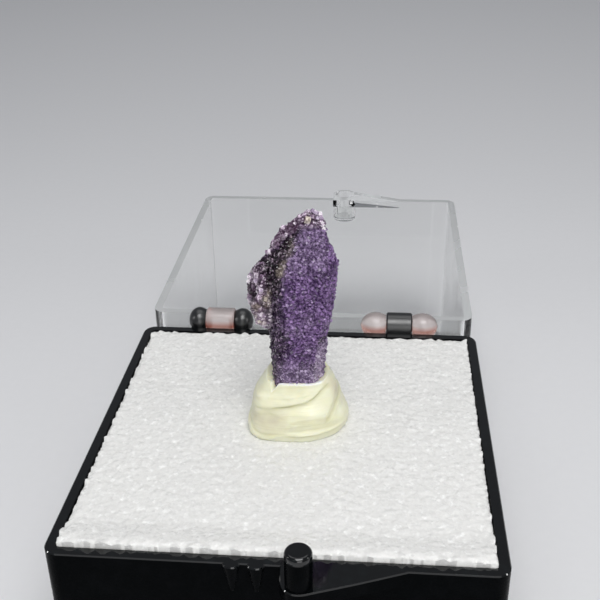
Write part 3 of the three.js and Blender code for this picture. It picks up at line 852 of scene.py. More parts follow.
# Patches on the front and the lump, for each zone: (x, height, radius, strength).
PATCHES = {
    "cream": [(-0.6, 14.35, 0.22, 1), (-0.74, 13.9, 0.27, 1), (-0.45, 14.75, 0.15, 0.8),
              (0.1, 15.95, 0.22, 0.5), (0, 15.4, 0.2, 0.5), (-1.72, 12.12, 0.22, 0.9),
              (-1.95, 11.75, 0.26, 0.9), (-1.84, 11.25, 0.26, 0.7), (-2.63, 11.04, 0.3, 0.8),
              (-2.7, 10.2, 0.3, 0.55), (-2.25, 9.6, 0.3, 0.6)],
    "pale": [(-2.63, 13.18, 0.22, 0.5), (-2.32, 12.44, 0.22, 0.5), (-3.25, 11.6, 0.25, 0.8),
             (-3.2, 13.2, 0.25, 0.8), (-2.6, 10, 0.4, 0.55), (-2.2, 9.3, 0.3, 0.7), (1.3, 9.91, 0.5, 0.16),
             (0.37, 9.18, 0.4, 0.16), (1.44, 7.62, 0.4, 0.14), (-0.3, 13.8, 0.3, 0.15)],
    "dark": [(2.22, 8.07, 0.32, 0.7), (1.6, 5.9, 0.3, 0.6)],
}
PATCHES_DEPTH, LUMP_PATCHES_DEPTH = 2.4, 1.2     # patches lie in front of this y


def roughness(points, layers):
    """The sum of several layers of noise at points in millimetres."""
    return sum(depth * noise_field(points, size, seed) for depth, size, seed in layers)


def crust_skin():
    """The rough skin of the point, as points in millimetres above the rim, faces and each point's side."""
    points, sides = [], []
    for row in range(SKIN_ROWS + 1):
        height = POINT_FOOT + (POINT_TOP - POINT_FOOT) * row / SKIN_ROWS
        corners = section(height)
        middle = sum(corners, Vector((0, 0))) / 6
        for side, steps in enumerate(SIDE_STEPS):
            for step in range(steps):
                flat = corners[side].lerp(corners[(side + 1) % 6], step / steps)
                points.append((flat.x, flat.y, height, *(flat - middle).normalized()))
                sides.append(side)
    table = np.array(points)
    places, away = table[:, :3].copy(), table[:, 3:]
    rough = roughness(places, POINT_ROUGH)
    rough *= smooth_step(*ROUGH_FROM, places[:, 2])
    # Fine shallow steps run across the faces of the quartz under the crust.
    rough += STEP_DEPTH * np.sin(places[:, 2] * STEP_TURNS + 2.0 * noise_field(places, 1.5, 9))
    places[:, :2] += away * rough[:, None]
    return places, ring_faces(SKIN_ROWS, sum(SIDE_STEPS)), sides


def patch_amounts(x, height, in_front):
    """What the patches give to each zone at a place, which is nothing at the back."""
    amounts = dict.fromkeys(ZONES, 0.0)
    for zone, patches in PATCHES.items() if in_front else ():
        for patch_x, patch_height, radius, strength in patches:
            gap = math.hypot(x - patch_x, (height - patch_height) * 0.9) / radius
            amounts[zone] = max(amounts[zone], strength * math.exp(-gap ** 2.4))
    return amounts


def crust_zones(place, side, wander):
    """The zones at a place on the point's skin; wander, -1..1, keeps their borders uneven."""
    x, y, height = place
    amounts = patch_amounts(x, height, y < PATCHES_DEPTH)
    edge = along(DARK_EDGE, height) + 0.2 * wander
    blur = 0.3 + 0.2 * smooth_step(*SOFT_DARK, height)
    at_back = 0.45 * (side in (BACK, BACK_LEFT))
    # The dark zone is partly the crust's own darker colour and partly painted shade on the left, away from
    # the light.
    dark = smooth_step(edge + blur, edge - blur, x) if side in (FRONT, LEFT) else at_back
    dark *= 0.74 + 0.26 * smooth_step(*DARKER_FROM, height)
    # Coarse paler crystals follow the outer edge of the large termination face, at its upper end.
    inner = along(BAND_EDGE, height) + 0.3 * wander
    band = smooth_step(inner + 0.12, inner - 0.2, x) * smooth_step(*BAND_FROM, height)
    band *= side in (FRONT, BACK_LEFT, LEFT)
    summit = smooth_step(*SUMMIT_FROM, height + 0.3 * wander)
    coarse = max(band, summit)
    facet = smooth_step(*FACET_FADE, height) * (side == BEVEL)
    top_front = smooth_step(*PALE_FROM, height) * (side == FRONT)
    foot = smooth_step(*FOOT_FADE, height)
    amounts["dark"] = max(amounts["dark"], dark * (1 - 0.9 * coarse))
    amounts["band"] = coarse
    amounts["pale"] = max(amounts["pale"], 0.45 * facet, 0.1 * (side == RIGHT), 0.08 * top_front,
                          0.23 * foot * (1 - dark))
    amounts["rich"] = (1 - top_front) * (1 - foot) if side in (FRONT, BEVEL) else 0.3
    amounts["coarse"] = 1.0 + 0.15 * coarse
    amounts["cover"] = smooth_step(*CRUST_FROM, height) * (1 - 0.3 * dark - 0.3 * coarse)
    amounts["cubes"] = 0.7 + 0.3 * coarse
    amounts["big"] = max(0.3 * band, 0.4 * summit)
    amounts["tone"] = SKIN_TONE
    return [amounts[zone] for zone in ZONES]


def lump_skin():
    """The uneven shoulder on the left, as points in millimetres above the rim and faces."""
    bottom, top = LUMP["left"][0][0], LUMP["left"][-1][0]
    points = []
    for row in range(LUMP_ROWS + 1):
        height = bottom + (top - bottom) * row / LUMP_ROWS
        left, right, front, back = (along(LUMP[side], height) for side in ("left", "right", "front", "back"))
        for step in range(LUMP_STEPS):
            turn = math.tau * step / LUMP_STEPS
            points.append(((left + right) / 2 + (right - left) / 2 * math.cos(turn),
                           (front + back) / 2 + (back - front) / 2 * math.sin(turn), height))
    points = np.array(points)
    away = points[:, :2] - np.array(LUMP_MIDDLE)
    away /= np.linalg.norm(away, axis=1)[:, None]
    points[:, :2] += away * roughness(points, LUMP_ROUGH)[:, None]
    return points, ring_faces(LUMP_ROWS, LUMP_STEPS)


def lump_zones(place, wander):
    """The zones at a place on the shoulder's skin; wander, -1..1, scatters its dark spots."""
    x, y, height = place
    amounts = patch_amounts(x, height, y < LUMP_PATCHES_DEPTH)
    # Painted shade in the groove where the lump meets the point, at its front.
    groove_shade = smooth_step(-2.15, -1.85, x) * smooth_step(0.9, 0.3, y)
    low = smooth_step(*LUMP_FADE, height)
    spots = smooth_step(-0.3, 0.12, wander) * (1 - 0.8 * low)
    amounts["pale"] = max(amounts["pale"], 0.3 * low)
    amounts["dark"] = max(0.95 * groove_shade, 0.9 * spots) * (1 - amounts["cream"]) * (1 - 0.8 * amounts["pale"])
    amounts["band"] = 1.0
    amounts.update(coarse=1.2, cover=0.8, cubes=1.0, big=0.25 * (1 - 0.6 * groove_shade), tone=SKIN_TONE)
    return [amounts[zone] for zone in ZONES]


# Single crystals that stand out: x, y, height, edge, turns about x, y and z in degrees, zone, tone.
CRYSTALS = [
    (0.62, 1.15, 17.98, 0.26, 35, 20, 15, "band", 0.7), (0.98, 1.1, 18.16, 0.28, 60, 15, 40, "band", 0.65),
    (1.3, 1.3, 18.3, 0.28, 20, 50, 25, "band", 0.8), (1.6, 1.4, 18.36, 0.28, 50, 35, 10, "pale", 0.2),
    (1.88, 1.25, 18.3, 0.3, 15, 40, 60, "pale", 0.5), (2.12, 1.4, 18.14, 0.28, 40, 10, 30, "pale", 0.9),
    (2.26, 1.25, 17.9, 0.28, 25, 65, 40, "pale", 0.4), (1.98, 1, 18, 0.24, 70, 20, 10, "pale", 0.2),
    (1.66, 1.05, 18.1, 0.26, 10, 30, 55, "band", 0.7), (2.2, 1, 17.68, 0.22, 30, 15, 45, "band", 0.8),
    (1.26, 0.9, 17.86, 0.38, 35, 20, 15, "cream", 0.95), (0.9, 1, 17.86, 0.24, 45, 60, 20, "band", 0.7),
    (2.34, 1.05, 17.42, 0.22, 30, 10, 50, "pale", 0.9), (2.42, 1.05, 17.18, 0.22, 8, 38, 20, "pale", 1),
    (2.5, 1.1, 16.94, 0.2, 50, 22, 35, "pale", 0.9), (2.34, 1.02, 17.66, 0.2, 15, 42, 25, "pale", 0.9),
    (-2.28, -0.1, 12.45, 0.28, 40, 25, 10, "pale", 0.5), (-2.66, 0.05, 13.15, 0.22, 20, 50, 35, "pale", 0.4),
    (-3.12, 0.45, 11.7, 0.24, 60, 15, 25, "pale", 0.6), (-2.62, -0.05, 11.05, 0.28, 10, 35, 55, "cream", 0.9),
    (-1.92, -0.12, 11.7, 0.28, 45, 20, 5, "cream", 0.5), (-3.24, 0.5, 12.9, 0.22, 15, 45, 30, "pale", 1),
    (-3.2, 0.5, 13.3, 0.2, 45, 15, 60, "pale", 1), (-3.22, 0.5, 11.1, 0.22, 25, 35, 10, "pale", 0.9),
    (-2.45, -0.02, 9.75, 0.24, 50, 25, 70, "cream", 1), (-2.15, 0.1, 9.35, 0.22, 25, 15, 40, "pale", 0.7),
]


def single_crystals(start):
    """Cubes for the crystals that stand out, with their zones; faces count from start."""
    points, faces, table = [], [], []
    for x, y, height, edge, *turns, zone, tone in CRYSTALS:
        about_x, about_y, about_z = (
            Matrix.Rotation(math.radians(angle), 3, axis) for angle, axis in zip(turns, "XYZ"))
        turn = about_z @ about_y @ about_x
        first = start + len(points)
        for corner in product((-0.5, 0.5), repeat=3):
            points.append(turn @ (Vector(corner[::-1]) * edge) + Vector((x, y, height)))
            table.append([tone if name == "tone" else float(name in (zone, "coarse")) for name in ZONES])
        for corners in ((0, 2, 3, 1), (4, 5, 7, 6), (0, 1, 5, 4), (2, 6, 7, 3), (0, 4, 6, 2), (1, 3, 7, 5)):
            faces.append(tuple(first + corner for corner in corners))
    return np.array([tuple(point) for point in points]), faces, table


# A grain is the corner of a cube, as a low pyramid on three sides; its sizes are over the grain's.
GRAIN_CORNER = {"Vertices": 3, "Radius Top": 0.0, "Radius Bottom": 0.82, "Depth": 0.72}
GRAIN_SUNK = 0.2        # how far a grain's foot is sunk, over the grain's size
CUBE_SPACING = 2.9      # spacing of the whole cubes over that of the grains
MOST_DENSE = 3e8        # points per square metre
# How each kind grows: least and most size over its own, furthest lean in radians, seed.
GRAIN_GROWTH, CUBE_GROWTH = (0.6, 1.3, 0.5, 3), (0.8, 1.35, math.pi, 23)
CRYSTAL_GROWTH = (0.6, 1.3, math.pi, 13)
CRYSTAL_SPACING = 0.7   # spacing of the coarse crystals over their size


def druse_tree():
    """Scatters grains and whole cubes over a skin and joins them to it, as one realized mesh."""
    tree = bpy.data.node_groups.new("Fluorite Druse", "GeometryNodeTree")
    sockets = {"Geometry": "Geometry", "Grain Size": "Float", "Grain Spacing": "Float",
               "Crystal Size": "Float", "Crystal Spacing": "Float", "Seed": "Int", "Material": "Material"}
    for label, kind in sockets.items():
        tree.interface.new_socket(label, in_out="INPUT", socket_type="NodeSocket" + kind)
    tree.interface.new_socket("Geometry", in_out="OUTPUT", socket_type="NodeSocketGeometry")

    def node(kind, values=None, **options):
        return add_node(tree, kind, values, **options).outputs

    def named(attribute):
        return node("GeometryNodeInputNamedAttribute", {"Name": attribute}, data_type="FLOAT")["Attribute"]

    def random(low, high, seed):
        return node("FunctionNodeRandomValue", {2: low, 3: high, "Seed": seed}, data_type="FLOAT")[1]

    def times(first, second):
        return node("ShaderNodeMath", {0: first, 1: second}, operation="MULTIPLY")[0]

    def grown(shape, cover, size, spacing, low, high, lean, seed):
        """Copies of a shape standing on the skin, each with a size, turn and tone of its own."""
        scatter = node("GeometryNodeDistributePointsOnFaces", {
            "Mesh": given["Geometry"], "Distance Min": spacing, "Density Max": MOST_DENSE,
            "Density Factor": cover, "Seed": given["Seed"]}, distribute_method="POISSON")
        put = node("GeometryNodeInstanceOnPoints", {
            "Points": scatter["Points"], "Instance": shape, "Rotation": scatter["Rotation"],
            "Scale": times(size, random(low, high, seed + 1))})
        turn = node("FunctionNodeRandomValue", {
            0: (-lean, -lean, 0), 1: (lean, lean, math.tau), "Seed": seed}, data_type="FLOAT_VECTOR")
        spin = node("GeometryNodeRotateInstances", {"Instances": put["Instances"], "Rotation": turn[0]})
        tone = node("GeometryNodeStoreNamedAttribute", {
            "Geometry": spin["Instances"], "Name": "tone", "Value": random(0.0, 1.0, seed + 2)},
            data_type="FLOAT", domain="INSTANCE")
        return node("GeometryNodeRealizeInstances", {"Geometry": tone["Geometry"]})["Geometry"]

    given = node("NodeGroupInput")
    pyramid = node("GeometryNodeMeshCone", GRAIN_CORNER, fill_type="NGON")["Mesh"]
    sunk = {"Geometry": pyramid, "Translation": (0, 0, -GRAIN_SUNK)}
    grain = node("GeometryNodeTransform", sunk)["Geometry"]
    cube = node("GeometryNodeMeshCube", {"Size": (1, 1, 1)})["Mesh"]
    cover, spacing = named("cover"), given["Grain Spacing"]
    size = times(given["Grain Size"], named("coarse"))
    cube_cover, cube_spacing = times(cover, named("cubes")), times(spacing, CUBE_SPACING)
    layers = (given["Geometry"],
              grown(grain, cover, size, spacing, *GRAIN_GROWTH),
              grown(cube, cube_cover, size, cube_spacing, *CUBE_GROWTH),
              grown(cube, named("big"), given["Crystal Size"], given["Crystal Spacing"], *CRYSTAL_GROWTH))
    both = tree.nodes.new("GeometryNodeJoinGeometry")
    for geometry in layers:
        tree.links.new(geometry, both.inputs[0])
    painted = node("GeometryNodeSetMaterial", {"Geometry": both.outputs[0], "Material": given["Material"]})
    add_node(tree, "NodeGroupOutput", {"Geometry": painted["Geometry"]})
    return tree


def run_tree(obj, tree, **values):
    """Runs a geometry tree on obj with inputs given by name, and keeps the plain mesh."""
    modifier = obj.modifiers.new(tree.name, "NODES")
    modifier.node_group = tree
    for item in tree.interface.items_tree:
        name = item.name.replace(" ", "_").lower()
        if item.in_out == "INPUT" and name in values:
            modifier[item.identifier] = values[name]
    apply_modifiers(obj)


RICH_SHADE = (0.84, 0.74, 0.88)     # deepens the purple faces

# The crust in each kind of zone: its shadows, its body and its brightest crystals, which are painted glints
# in the dark zone and partly painted glints in the band.
ZONE_COLORS = {
    "band": ((0.065, 0.030, 0.062), (0.52, 0.37, 0.53), (0.92, 0.82, 0.92)),
    "dark": ((0.005, 0.002, 0.005), (0.046, 0.024, 0.044), (0.44, 0.34, 0.42)),
    "pale": ((0.34, 0.26, 0.38), (0.80, 0.70, 0.80), (0.97, 0.92, 0.95)),
    "cream": ((0.15, 0.12, 0.095), (0.46, 0.39, 0.32), (0.72, 0.64, 0.57)),
}


def fluorite(settings):
    """The crust, coloured by the zones and the tone that its points carry."""
    shader = Shader("purple_fluorite", IOR=1.434, Specular_IOR_Level=0.6, Subsurface_Weight=0.06,
                    Subsurface_Scale=1.0, Subsurface_Radius=(0.16 * MM, 0.11 * MM, 0.2 * MM))
    purple, lilac = tuple(settings.purple), tuple(settings.lilac)
    tone = shader.attribute("tone")
    swirl = shader.ramp(shader.noise(5400, 3, 0.6), (0.40, 0.0), (0.60, 1.0))
    patches = shader.ramp(shader.noise(620, 3, 0.6), (0.38, 0.0), (0.64, 1.0))
    spread = shader.mix(0.45, shader.mix(0.3, swirl, patches), tone)
    spread = shader.ramp(spread, (0.28, 0.0), (0.88, 1.0))
    # Away from the purple faces only some crystals are light; in the band these are partly painted glints, in
    # the dark zone painted glints, and fewer there.
    sparks = shader.ramp(shader.mix(0.65, swirl, tone), (0.60, 0.0), (0.90, 1.0))
    rich = shader.math("MULTIPLY", shader.attribute("rich"), 0.9)
    crust = shader.mix(rich, shader.mix(spread, purple, lilac), RICH_SHADE, blend="MULTIPLY")
    # Painted glints, fewer on the dark zone.
    glints = shader.math("POWER", sparks, 2.0)
    for zone, (low, middle, high) in ZONE_COLORS.items():
        peaks = glints if zone == "dark" else sparks
        light = shader.mix(peaks, shader.mix(spread, low, middle), high)
        crust = shader.mix(shader.attribute(zone), crust, light)
    shader.drive("Base Color", crust)
    shader.drive("Roughness", shader.ramp(tone, (0.0, 0.06), (1.0, 0.32)))
    return shader.material


class MINERAL_OT_point(bpy.types.Operator):
    """Builds the quartz point, its side lump and the fluorite grown over them"""
    bl_idname = "mineral.point"
    bl_label = "Fluorite on Quartz"

    def execute(self, context):
        settings = context.scene.mineral_point
        points, faces, sides = crust_skin()
        wander = noise_field(points, 0.5, 11)
        table = [crust_zones(*row) for row in zip(points, sides, wander)]
        lump, lump_faces = lump_skin()
        spots = noise_field(lump, 0.45, 8)
        table += [lump_zones(*row) for row in zip(lump, spots)]
        faces += [tuple(corner + len(points) for corner in face) for face in lump_faces]
        single, single_faces, single_table = single_crystals(len(points) + len(lump))
        vertices = np.vstack([points, lump, single])
        vertices[:, 2] += RIM / MM
        point = object_from("fluorite_quartz_point", vertices * MM, faces + single_faces)
        write_values(point.data, ZONES, table + single_table)
        material = fluorite(settings)
        run_tree(point, druse_tree(), grain_size=settings.grain, grain_spacing=settings.spacing,
                 crystal_size=settings.crystal, crystal_spacing=CRYSTAL_SPACING * settings.crystal,
                 seed=settings.seed, material=material)
        place(point, material, "base", "purple_fluorite", "fluorite_on_quartz")
        return {"FINISHED"}


# ---- putty ----

PUTTY_CENTRE, PUTTY_SUNK, PUTTY_TOP = (0.31, 1.6), 0.25, 4.4

PUTTY_ROUND = (3.5, 3.0)     # half sizes of the oval that its noise is read on

# How far the putty reaches on its four sides: [(height, x or y), ...].
PUTTY_REACH = {
    "left": [(-0.25, -3.45), (0.1, -3.66), (0.7, -3.7), (1.3, -3.55), (2.1, -3.36), (2.9, -3.12),
             (3.6, -2.72), (4.2, -2.35), (4.6, -2.1)],
    "right": [(-0.25, 4.15), (0.1, 4.36), (0.7, 4.4), (1.3, 4.2), (1.9, 3.85), (2.8, 3.62), (3.6, 3.3),
              (4.2, 2.9), (4.6, 2.65)],
    "front": [(-0.25, -1.95), (0.1, -2.12), (0.7, -2.15), (1.3, -2.08), (2.1, -1.85), (2.9, -1.5),
              (3.6, -1.12), (4.2, -0.8), (4.6, -0.64)],
    "back": [(-0.25, 5.1), (0.1, 5.25), (0.7, 5.3), (1.3, 5.2), (2.1, 5.0), (2.9, 4.75),
             (3.6, 4.5), (4.2, 4.3), (4.6, 4.15)],
}

# The laps left by pressing the putty round the foot: ([(turn in degrees, height), ...], step, softness).
# Above a lap's edge the putty stands out and below it is drawn in, or the other way round where the step is
# negative. Turns run anticlockwise from the right.
PUTTY_LAPS = [
    ([(205, 4.05), (240, 4.05), (270, 4.12), (310, 4.16), (335, 4.2)], -0.05, 0.12),
    ([(200, 3.4), (215, 3.56), (236, 3.85), (252, 3.93), (271, 3.96), (284, 4.02), (296, 4.06)], -0.07, 0.12),
    ([(195, 2.9), (210, 3.1), (225, 3.36), (239, 3.46), (262, 3.5), (278, 3.55), (296, 3.8)], 0.07, 0.11),
    ([(95, 2.7), (160, 2.2), (205, 2.2), (213, 2.37), (226, 2.64), (243, 2.80), (254, 2.90)], 0.10, 0.13),
    ([(238, 2.76), (243, 2.80), (254, 2.90), (263, 2.98), (277, 3.12), (287, 3.27), (295, 3.45), (302, 3.66),
      (311, 3.92), (322, 4.12), (340, 4.2)], 0.20, 0.10),
    ([(228, 2.4), (245, 2.60), (253, 2.68), (263, 2.74), (273, 2.84), (285, 3.0)], -0.05, 0.10),
    ([(255, 1.35), (265, 1.62), (273, 1.8), (283, 1.9), (296, 1.9), (310, 1.85), (325, 1.7)], 0.08, 0.13),
    ([(-58, 1.3), (-50, 1.42), (-43, 1.72), (-34, 2.08), (-28, 2.32), (-15, 2.55), (5, 2.7), (40, 2.9),
      (85, 2.6)], -0.16, 0.11),
    ([(-50, 1.9), (-44, 2.2), (-38, 2.55), (-30, 2.9), (-20, 3.1)], 0.09, 0.10),
    ([(250, 1.15), (268, 1.33), (280, 1.48), (292, 1.53), (316, 1.42), (338, 1.1)], 0.06, 0.12),
    ([(254, 0.84), (266, 0.90), (280, 0.98), (295, 1.04), (312, 1.02), (330, 0.9)], -0.10, 0.07),
    ([(253, 0.6), (266, 0.60), (286, 0.62), (301, 0.66), (320, 0.70), (345, 0.6)], 0.12, 0.07),
    ([(185, 1.15), (208, 1.05), (215, 0.9), (221, 0.6), (232, 0.45), (241, 0.5), (262, 0.64)], -0.12, 0.09),
    ([(200, 1.75), (215, 1.85), (228, 2.2), (238, 2.38), (251, 2.09), (262, 1.8)], 0.05, 0.12),
    ([(186, 2.5), (196, 2.62), (206, 2.7), (216, 2.75)], 0.10, 0.08),
    ([(186, 3.3), (196, 3.4), (207, 3.46), (216, 3.4)], -0.08, 0.08),
    ([(20, 1.2), (60, 1.6), (110, 1.5), (150, 1.0), (185, 1.3)], 0.12, 0.09),
    ([(35, 3.5), (80, 3.7), (130, 3.4), (165, 3.5)], 0.1, 0.09),
]

LAP_FADE = 16       # degrees over which a lap fades out at its ends
LAP_ABOVE, LAP_BELOW = 0.5, 0.36                # how far a lap reaches up and down from its edge
# Painted shade in the laps' creases: its offset, its width and its darkness.
CREASE_OFF, CREASE_WIDTH, CREASE_DARK = 0.07, 1.8, 5    # place, width over the softness, dark over the step

# Broad swells and hollows: (turn, height, turn's reach, height's reach, depth).
PUTTY_SWELLS = [(230, 1.5, 22, 0.75, -0.12), (292, 2.5, 20, 0.45, 0.14), (345, 3.9, 26, 0.8, 0.12),
                (338, 1.3, 18, 0.6, 0.07), (258, 3.2, 40, 0.16, 0.05), (262, 1.3, 4, 0.5, -0.05),
                (275, 2.1, 25, 0.2, -0.05)]
# Painted light on the putty, where it stands paler: (turn, height, turn's reach, height's reach).
PUTTY_LIGHT = [(294, 2.5, 16, 0.5), (336, 1.9, 7, 0.5), (216, 0.45, 14, 0.35), (225, 3.5, 20, 0.25),
               (275, 3.55, 18, 0.15), (285, 0.80, 22, 0.12)]
# Darker, warmer patches of the putty, in the same columns.
PUTTY_WARM = [(238, 1.6, 26, 0.75), (345, 3.6, 14, 0.7)]
# The notch in the putty's top edge: its turn, depth and half width in degrees.
WEDGE_TURN, WEDGE_DEPTH, WEDGE_WIDTH = 232.0, 0.62, 6.5
# Turns between which the lip's painted highlight, the warm patch and the ragged edge set in or fade.
LIP_FROM, LIP_TO, WARM_TO, RAGGED_FROM, RAGGED_TO = (229, 233), (330, 312), (264, 258), 200, (320, 290)
# The lip's painted highlight sets in over these shares of the putty's height.
LIP_RISE = (0.97, 0.99)     # shares of the putty's height over which the lip sets in
# The rings that close the putty's top, from its edge inwards: (inward, downward).
PUTTY_MOUTH = ((0.04, -0.01), (0.14, 0.02), (0.9, 0.35))
PUTTY_ROWS, PUTTY_STEPS = 150, 300
PUTTY_FAR = 6           # further than this from its middle, the foam isn't touched
LINE_DEPTH, SOFT_DEPTH = 0.022, 0.06     # of the fine stretch lines and the soft swells


def around(degrees, height, turn, middle, wide, tall):
    """1 at a place on the putty, fading with the distance from it."""
    return math.exp(-((degrees - turn) / wide) ** 2 - ((height - middle) / tall) ** 2)


def putty_lap(degrees, height, wander):
    """How far the laps push the surface out at a place, and how much painted shade their creases give it."""
    total, crease = 0.0, 0.0
    for edge, step, softness in PUTTY_LAPS:
        start, end = edge[0][0], edge[-1][0]
        at = degrees - 360 if degrees > end and degrees - 360 >= start else degrees
        if not start < at < end:
            continue
        fade = smooth_step(0, LAP_FADE, at - start) * smooth_step(0, LAP_FADE, end - at)
        fade *= 0.8 + 0.5 * wander
        above = height - along(edge, at) + 0.05 * wander
        reach = LAP_ABOVE if above > 0 else LAP_BELOW
        total += fade * step * math.tanh(above / softness) * math.exp(-abs(above) / reach)
        under = above + (CREASE_OFF if step > 0 else -CREASE_OFF)
        crease += fade * abs(step) * CREASE_DARK * math.exp(-(under / (CREASE_WIDTH * softness)) ** 2)
    for *swell, depth in PUTTY_SWELLS:
        total += depth * around(degrees, height, *swell)
    return total, crease


def putty_radius(turn, height):
    """The smooth body's radius about its middle."""
    across, deep = math.cos(turn), math.sin(turn)
    reach_x = abs(along(PUTTY_REACH["left" if across < 0 else "right"], height) - PUTTY_CENTRE[0])
    reach_y = abs(along(PUTTY_REACH["front" if deep < 0 else "back"], height) - PUTTY_CENTRE[1])
    front_power = 4.0 if across < 0 else 2.0 + 0.8 * max(0.0, height) / PUTTY_TOP
    power = 2.2 if deep > 0 else front_power
    return ((abs(across) / reach_x) ** power + (abs(deep) / reach_y) ** power) ** (-1 / power)


def putty_top(deep, across, degrees):
    """The height of the putty's ragged upper edge, with a notch at the dark corner of the point."""
    ragged = noise.noise(Vector((across, deep, 0)) * 14) * smooth_step(*RAGGED_TO, degrees)
    wedge = WEDGE_DEPTH * max(0.0, 1 - abs(degrees - WEDGE_TURN) / WEDGE_WIDTH)
    return PUTTY_TOP - 0.12 * deep + 0.07 * ragged * (degrees > RAGGED_FROM) - wedge


def putty_marks(degrees, height, rise, crease):
    """How warm a place's colour is, how much painted shade its crease gives it, how much painted highlight it
    gets near the lip, and how much painted light.
    """
    low_left, high_right = (around(degrees, height, *spot) for spot in PUTTY_WARM)
    low_left *= smooth_step(*WARM_TO, degrees)
    lip_highlight = smooth_step(*LIP_FROM, degrees) * smooth_step(*LIP_TO, degrees) * smooth_step(*LIP_RISE, rise)
    light = max(around(degrees, height, *spot) for spot in PUTTY_LIGHT)
    return min(1.0, low_left + high_right), min(1.0, crease), lip_highlight, light


def putty_skin():
    """Rings of the putty in millimetres above the rim, and each point's marks."""
    centre_x, centre_y = PUTTY_CENTRE
    rings, marks = [], []
    for row in range(PUTTY_ROWS + 1):
        rise = row / PUTTY_ROWS
        ring = []
        for step in range(PUTTY_STEPS):
            turn = math.tau * step / PUTTY_STEPS
            degrees = math.degrees(turn)
            across, deep = math.cos(turn), math.sin(turn)
            height = -PUTTY_SUNK + rise * (putty_top(deep, across, degrees) + PUTTY_SUNK)
            place = Vector((across * PUTTY_ROUND[0], deep * PUTTY_ROUND[1], height))
            # Fine stretch lines follow the laps round the body.
            drawn = noise.noise(Vector((turn * 2.2, 5.0, (height - 0.25 * math.sin(turn + 2.2)) / 0.11)))
            soft = noise.noise(place / 1.6 + Vector((9, 0, 0)))
            calm = smooth_step(0, 0.12, rise) * smooth_step(1.0, 0.9, rise)
            lap, crease = putty_lap(degrees, height, noise.noise(place / 0.9))
            radius = putty_radius(turn, height) + calm * (lap + LINE_DEPTH * drawn + SOFT_DEPTH * soft)
            ring.append((centre_x + radius * across, centre_y + radius * deep, height))
            marks.append(putty_marks(degrees, height, rise, crease))
        rings.append(ring)
    edge, lip_highlights = rings[-1], [lip_highlight for _, _, lip_highlight, _ in marks[-PUTTY_STEPS:]]
    for inward, drop in PUTTY_MOUTH:
        ring = []
        for x, y, z in edge:
            away = Vector((x - centre_x, y - centre_y))
            away *= max(0.0, 1 - inward / away.length)
            ring.append((centre_x + away.x, centre_y + away.y, z - drop))
        rings.append(ring)
        marks += [(0.0, 0.0, lip_highlight, 0.0) for lip_highlight in lip_highlights]
    return rings, marks


PUTTY_LIT, PUTTY_SHADE, PUTTY_LIP_HIGHLIGHT = (0.94, 0.93, 0.72), (0.72, 0.71, 0.60), (0.96, 0.95, 0.86)


def cloudy_putty(settings):
    """Pale waxy putty that glows a little, warmer where its points say so, with painted light, painted crease
    shade and a painted highlight on its lip where they say so.
    """
    base = tuple(settings.color)
    shader = Shader("cloudy_putty", IOR=1.46, Subsurface_Weight=0.5, Subsurface_Scale=1.0,
                    Subsurface_Radius=tuple(settings.glow * share for share in (1.0, 0.85, 0.45)))
    cloud = shader.ramp(shader.noise(420, 3), (0.35, tuple(c * 0.93 for c in base)), (0.65, base))
    patches = shader.ramp(shader.noise(700, 2), (0.3, 0.5), (0.6, 1.0))
    warm = shader.math("MULTIPLY", shader.attribute("warm"), patches)
    # Painted light where the putty stands paler.
    cloud = shader.mix(shader.attribute("light"), cloud, PUTTY_LIT)
    cloud = shader.mix(warm, cloud, tuple(settings.warm))
    # Painted shade in the creases.
    cloud = shader.mix(shader.attribute("crease"), cloud, PUTTY_SHADE, blend="MULTIPLY")
    # Painted highlight along the lip.
    shader.drive("Base Color", shader.mix(shader.attribute("lip_highlight"), cloud, PUTTY_LIP_HIGHLIGHT))
    shader.drive("Roughness", shader.ramp(shader.noise(1500, 4), (0.3, 0.3), (0.7, 0.55)))
    shader.bump(1300, 4, 0.05, 0.35)
    return shader.material


class MINERAL_OT_putty(bpy.types.Operator):
    """Builds the folded lump of putty round the point's foot"""
    bl_idname = "mineral.putty"
    bl_label = "Mounting Putty"

    def execute(self, context):
        settings = context.scene.mineral_putty
        rings, marks = putty_skin()
        rings = [[Vector((x, y, z + RIM / MM)) * MM for x, y, z in ring] for ring in rings]
        putty = stack("putty_lump", rings)
        write_values(putty.data, ("warm", "crease", "lip_highlight", "light"), marks)
        shade_by_angle(putty.data, 55)
        place(putty, cloudy_putty(settings), "base", "cloudy_putty", "mounting_putty")
        return {"FINISHED"}


# ---- stage ----

# Where the camera stands, relative to the middle of the base's rim, and how it is turned.
CAMERA_PLACE = Vector((6.500, -62.785, 44.786))
CAMERA_YAW, CAMERA_PITCH, CAMERA_ROLL = math.radians(-5.28), math.radians(27.7), math.radians(-0.88)
CAMERA_LENS, CAMERA_SENSOR = 56.49, 36.0
CAMERA_CLIP = (0.005, 5.0)     # metres

FLOOR_REACH, FLOOR_THICKNESS = 1500, 5
FLOOR_SHADE = 0.97              # the floor's darker flecks, over its colour
SKY, SKY_STRENGTH = (0.9, 0.93, 1.0, 1), 0.24
AIM = (0, 2, RIM / MM + 6)
# The lights: name, place, what it is aimed at, size, power over the overhead light's.
LIGHTS = [("key_overhead", (20, -72, 185), AIM, (110, 110), 1.0),
          ("fill_front", (50, -190, 70), AIM, (110, 110), 0.40),
          ("front_high", (10, -150, 160), AIM, (260, 30), 0.07),
          ("behind_high", (0, 190, 430), (0, 340, 0), (400, 260), 2.0),
          ("side_left", (-150, -30, 80), AIM, (16, 22), 0.10),
          ("side_right", (150, -30, 80), AIM, (16, 22), 0.08)]


